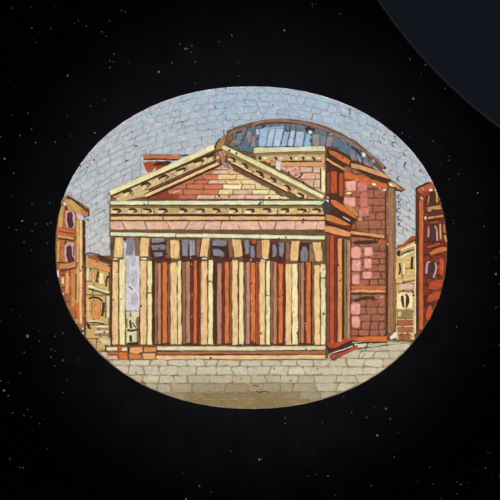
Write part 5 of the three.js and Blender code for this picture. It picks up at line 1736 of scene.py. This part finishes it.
RIGHT_HOUSE = (
    ("red_bright", 1, (17.69, 0.27), (18.54, 0.44), (19.4, 1.25), (19.76, 1.49), (20.13, 1.37),
        (20.13, 0.98), (19.52, 0.73), (18.79, 0.15), (18.05, -0.12)),
    ("umber", 2, 0.18, (19.15, 0.49), (19.64, 0.76), (20.13, 0.93)),
    ("pit", 2, (17.81, -0.46), (18.05, -0.24), (18.25, -0.66), (18.13, -1.12), (17.81, -1.03)),
    ("yellow", 2, 0.34, (18.25, -0.34), (19.15, 0.02), (20.01, 0.46)),
    ("umber", 2, 0.15, (18.17, -0.93), (19.15, -0.46), (19.93, -0.2)),
    ("cream", 2, 0.29, (18.25, -1.22), (19.03, -0.78), (19.93, -0.46)),
    ("umber", 2, 0.24, (18.13, -1.88), (18.22, -2.49), (18.1, -3.3)),
    ("umber", 2, 0.29, (19.71, -1.07), (19.62, -1.76), (19.64, -2.66)),
    ("yellow", 1, 0.46, (18.64, -1.76), (18.66, -3.35)),
    ("peach", 1, 0.37, (17.81, -1.76), (17.78, -3.96)),
    ("peach", 1, 0.29, (18.42, -3.93), (19.15, -3.84), (20.01, -3.66)),
    ("umber", 2, 0.15, (18.42, -4.3), (19.15, -4.15), (20.01, -4.01)),
    ("blush", 1, (17.93, -4.45), (19.4, -4.3), (19.84, -4.45), (19.76, -5.13), (18.05, -5.13)),
    ("umber", 2, 0.13, (18.05, -5.33), (19.69, -5.3)),
    ("umber", 2, 0.24, (19.59, -5.2), (19.88, -5.59)),
    ("yellow", 1, (17.76, -5.55), (18.66, -5.4), (19.76, -5.55), (19.88, -6.4), (19.64, -7.5),
        (17.81, -7.5)),
    ("plum_dark", 2, (18.27, -5.86), (18.66, -5.89), (18.69, -6.84), (18.74, -7.5), (18.42, -7.13),
        (18.22, -6.52)),
    ("umber", 2, (18.91, -5.81), (19.27, -5.79), (19.35, -6.69), (19.08, -7.33), (18.86, -7.5)),
    ("olive", 1, (17.76, -7.62), (19.76, -7.62), (19.76, -8.72), (17.81, -8.72)),
    (("straw", "olive", 0.4), 2, (17.88, -7.74), (18.42, -7.74), (18.3, -8.55), (17.88, -8.48)),
    (("brick", "red", 0.3), 1, (17.81, -8.84), (19.76, -8.82), (19.76, -9.53), (17.81, -9.58)),
    (("brick", "red", 0.3), 1, (17.86, -9.7), (19.76, -9.7), (19.76, -10.36), (17.86, -10.36)),
    (("brick", "red", 0.3), 1, (17.93, -10.53), (19.52, -10.53), (19.4, -11.24), (18.05, -11.24)),
    ("straw", 1, 0.22, (20.03, 0.44), (20.03, -10.55)))
RIGHT_TOWER = (
    (("orange", "rust", 0.25), 1, 0.54, (20.79, 5.81), (20.76, -1.76), (20.74, -10.02)),
    ("umber", 2, 0.17, (20.35, 5.94), (20.35, -1.76), (20.37, -10.06)),
    (("red_bright", "brown", 0.3), 2, (20.18, 6.99), (20.5, 7.35), (21.84, 7.87), (22.33, 7.72),
        (22.57, 7.28), (22.08, 7.04), (21.35, 6.72), (20.74, 6.55)),
    ("red", 2, (20.69, 6.5), (21.47, 6.74), (21.84, 6.91), (21.59, 6.42), (21.11, 6.23)),
    ("umber", 3, 0.16, (20.13, 7.21), (20.62, 7.52), (21.72, 7.99)),
    ("blush", 3, 0.22, (20.91, 7.16), (21.08, 7.11)),
    ("white", 3, (21.59, 7.04), (22.08, 7.28), (22.25, 6.96), (21.84, 6.79)),
    ("blush", 2, (20.57, 6.13), (20.86, 6.3), (21.15, 5.86), (20.67, 5.84)),
    ("umber", 2, (21.77, 6.55), (22.21, 6.84), (22.5, 6.67), (22.45, 5.15), (21.77, 5.13)),
    (("brown", "tan", 0.5), 3, 0.17, (21.77, 6.42), (21.59, 5.33)),
    ("ochre", 3, 0.24, (22.64, 6.79), (22.69, 5.52)),
    ("blush", 3, 0.16, (22.99, 6.3), (23.08, 5.86)),
    ("amber", 2, (21.47, 4.96), (22.33, 5.06), (23.26, 5.2), (23.3, 4.71), (22.33, 4.62), (21.72, 4.35),
        (21.52, 4.47)),
    ("maroon", 2, 0.44, (21.59, 4.1), (23.18, 4.4)),
    ("amber", 2, 0.29, (21.55, 3.59), (22.45, 3.74)),
    ("apricot_deep", 2, 0.29, (22.47, 3.74), (23.5, 3.88)),
    ("umber", 3, 0.16, (21.59, 3.27), (23.06, 3.49)),
    ("white", 3, (21.13, 3.81), (21.4, 3.84), (21.42, 3.42), (21.15, 3.42)),
    ("rust", 2, 0.2, (21.84, 3), (22.94, 3.18)),
    ("umber", 2, (21.72, 2.64), (22.45, 2.81), (22.82, 2.15), (22.82, 0.73), (21.59, 0.68)),
    ("lilac", 3, (21.55, 2.44), (21.72, 2.59), (21.81, 1.91), (21.72, 1.12), (21.52, 1.42)),
    ("plum_dark", 3, (21.89, 2.52), (22.33, 2.71), (22.52, 1.91), (22.45, 0.76), (21.96, 0.81)),
    ("lilac", 3, 0.23, (22.4, 2.71), (22.67, 2.15), (22.72, 0.81)),
    ("ochre", 2, 0.27, (23.06, 2.93), (23.16, 0.98)),
    ("ochre", 2, 0.18, (23.55, 2.88), (23.62, 1.78)),
    ("amber", 2, 0.29, (23.67, 1.54), (23.87, 0.61)),
    ("rust", 2, 0.24, (21.47, 0), (23.06, 0.51)),
    ("umber", 3, 0.18, (21.84, -0.24), (22.82, 0.07), (23.84, 0.37)),
    ("orange", 2, (21.72, -0.71), (22.21, -0.24), (23.3, 0.15), (23.92, 0.02), (23.92, -0.34),
        (22.82, -0.68), (21.96, -0.98)),
    ("umber", 2, (21.59, -1.88), (22.33, -1.69), (22.64, -2.25), (22.33, -3.84), (21.47, -3.84)),
    ("lilac", 3, 0.29, (21.91, -1.69), (21.55, -1.83), (21.42, -2.37), (21.4, -3.22)),
    ("plum_dark", 3, (21.67, -1.95), (22.21, -1.88), (22.33, -2.61), (22.13, -3.76), (21.59, -3.59)),
    ("lilac", 3, 0.24, (22.45, -1.81), (22.62, -2.37), (22.52, -2.98), (22.25, -3.71)),
    ("red_bright", 1, (23.01, -1.15), (23.5, -1.39), (23.62, -2.49), (23.43, -3.52), (22.94, -3.22)),
    ("rust", 1, (21.84, -4.27), (22.57, -3.96), (23.43, -3.88), (23.43, -4.69), (22.69, -5.18),
        (21.59, -4.98)),
    ("rust", 1, (21.59, -5.91), (22.57, -5.3), (23.18, -5.42), (23.06, -6.28), (22.33, -6.57),
        (21.47, -6.69)),
    ("rust", 1, (21.59, -7.26), (21.96, -6.96), (22.25, -7.74), (21.84, -8.84), (21.35, -8.84),
        (21.28, -8.11)))


class MOSAIC_OT_houses(bpy.types.Operator):
    """Lay the houses at both ends of the picture"""
    bl_idname = "mosaic.houses"
    bl_label = "Houses"

    def execute(self, context):
        tray = Tray(140)
        tray.field("left_tower", mixed("brown", "orange", 0.6), 1.6, 1.3, vary=0.12)
        lay(tray, *LEFT_TOWER_TOP)
        lay(tray, *LEFT_TOWER)
        tray.cut_to_depth("left_tower_glass", ("left_tower",), drawn_glass(), 0.06, 0.03, 12)
        tray = Tray(141)
        tray.field("left_house", mixed("ochre", "tan", 0.3), 1.6, 2.0, vary=0.06)
        lay(tray, *LEFT_HOUSE)
        tray.cut_to_depth("left_house_glass", ("left_house",), drawn_glass(), 0.06, 0.03, 12)
        tray = Tray(142)
        tray.field("right_house", mixed("ochre", "straw", 0.15), 1.8, 2.2, vary=0.05)
        lay(tray, *RIGHT_HOUSE)
        tray.cut_to_depth(
            "right_house_glass", ("right_house",), drawn_glass(), 0.06, 0.03, 12)
        tray = Tray(143)
        tray.field("right_tower", "wine", 1.3, 1.8, vary=0.16)
        lay(tray, *RIGHT_TOWER)
        tray.cut_to_depth("right_tower_glass", ("right_tower",), drawn_glass(), 0.06, 0.03, 12)
        return {"FINISHED"}


# The stage


def softbox(title, place, size, watts):
    """An area light turned towards the panel."""
    light = bpy.data.lights.new(title, "AREA")
    light.shape = "SQUARE"
    light.size = size
    light.energy = watts
    item = bpy.data.objects.new(title, light)
    item.location = place
    item.rotation_euler = (-Vector(place)).to_track_quat("-Z", "Y").to_euler()
    bpy.context.scene.collection.objects.link(item)


# The width of the photograph's frame at the stone's face, and its middle, in millimetres.
FRAME_WIDTH = 61.07
FRAME_MIDDLE = (-0.147, -0.293)
# Lights: name, place and size in metres, and power in watts.
LIGHTS = (
    ("left_light", (-0.36, -0.4, 0.22), 0.34, 2.2), ("right_light", (0.4, -0.38, 0.16), 0.34, 1.9),
    ("low_light", (0.05, -0.42, -0.34), 0.3, 0.76), ("back_light", (0.25, 0.5, 0.4), 0.4, 4.0))
# The floor's radius and how far it lies under the panel's middle, in metres.
FLOOR_RADIUS = 1.4
FLOOR_DROP = 0.45


class MOSAIC_OT_stage(bpy.types.Operator):
    """Set up the floor, the light and the camera"""
    bl_idname = "mosaic.stage"
    bl_label = "Stage"

    def execute(self, context):
        scene = bpy.context.scene
        camera_data = bpy.data.cameras.new("camera")
        camera_data.lens = 85.0
        camera_data.sensor_width = 36.0
        camera_data.clip_start = 0.01
        camera = bpy.data.objects.new("camera", camera_data)
        distance = FRAME_WIDTH * MM * camera_data.lens / camera_data.sensor_width
        across, up = FRAME_MIDDLE
        camera.location = (across * MM, STONE_FACE * MM - distance, up * MM)
        camera.rotation_euler = (math.radians(90), 0, 0)
        scene.collection.objects.link(camera)
        scene.camera = camera
        bm = bmesh.new()
        bmesh.ops.create_circle(bm, cap_ends=True, segments=96, radius=FLOOR_RADIUS)
        bmesh.ops.translate(bm, vec=(0, 0, -FLOOR_DROP), verts=bm.verts)
        mesh = bpy.data.meshes.new("floor")
        bm.to_mesh(mesh)
        bm.free()
        item, shader, surface = material("pale_floor")
        place = shader.node("ShaderNodeTexCoord").outputs["Object"]
        tone = shader.blend(shader.noise(place, 6.0, 4.0), (0.56, 0.55, 0.53), (0.62, 0.61, 0.59))
        item.node_tree.links.new(tone, surface.inputs["Base Color"])
        surface.inputs["Roughness"].default_value = 0.7
        mesh.materials.append(item)
        floor = bpy.data.objects.new("floor", mesh)
        scene.collection.objects.link(floor)
        world = bpy.data.worlds.new("studio")
        world.use_nodes = True
        background = world.node_tree.nodes["Background"]
        background.inputs["Color"].default_value = (0.006, 0.0075, 0.0116, 1)
        scene.world = world
        for light in LIGHTS:
            softbox(*light)
        scene.view_settings.view_transform = "Standard"
        scene.view_settings.look = "None"
        return {"FINISHED"}


class MOSAIC_PT_panel(bpy.types.Panel):
    """Sizes, colours and pieces of the mosaic panel"""
    bl_idname = "MOSAIC_PT_panel"
    bl_label = "Mosaic Panel"
    bl_space_type = "VIEW_3D"
    bl_region_type = "UI"
    bl_category = "Mosaic Panel"

    def draw(self, context):
        layout = self.layout
        for kind in OPERATORS:
            layout.operator(kind.bl_idname)
        for settings in (context.scene.mosaic_sizes, context.scene.mosaic_colours):
            box = layout.box()
            for name in settings.__annotations__:
                box.prop(settings, name)


OPERATORS = (
    MOSAIC_OT_stage, MOSAIC_OT_stone, MOSAIC_OT_mastic, MOSAIC_OT_sky, MOSAIC_OT_paving,
    MOSAIC_OT_houses, MOSAIC_OT_dome, MOSAIC_OT_hall, MOSAIC_OT_flank, MOSAIC_OT_attic,
    MOSAIC_OT_gable, MOSAIC_OT_entablature, MOSAIC_OT_columns, MOSAIC_OT_bays, MOSAIC_OT_steps)
CLASSES = (MosaicSizes, MosaicColours, *OPERATORS, MOSAIC_PT_panel)


def register():
    """Adds the properties, the operators and the panel."""
    for kind in CLASSES:
        bpy.utils.register_class(kind)
    bpy.types.Scene.mosaic_sizes = bpy.props.PointerProperty(type=MosaicSizes)
    bpy.types.Scene.mosaic_colours = bpy.props.PointerProperty(type=MosaicColours)


def unregister():
    """Takes them away again."""
    del bpy.types.Scene.mosaic_colours
    del bpy.types.Scene.mosaic_sizes
    for kind in reversed(CLASSES):
        bpy.utils.unregister_class(kind)


def main():
    """Builds the whole scene."""
    register()
    for kind in OPERATORS:
        space, name = kind.bl_idname.split(".")
        getattr(getattr(bpy.ops, space), name)()


if __name__ == "__main__":
    main()
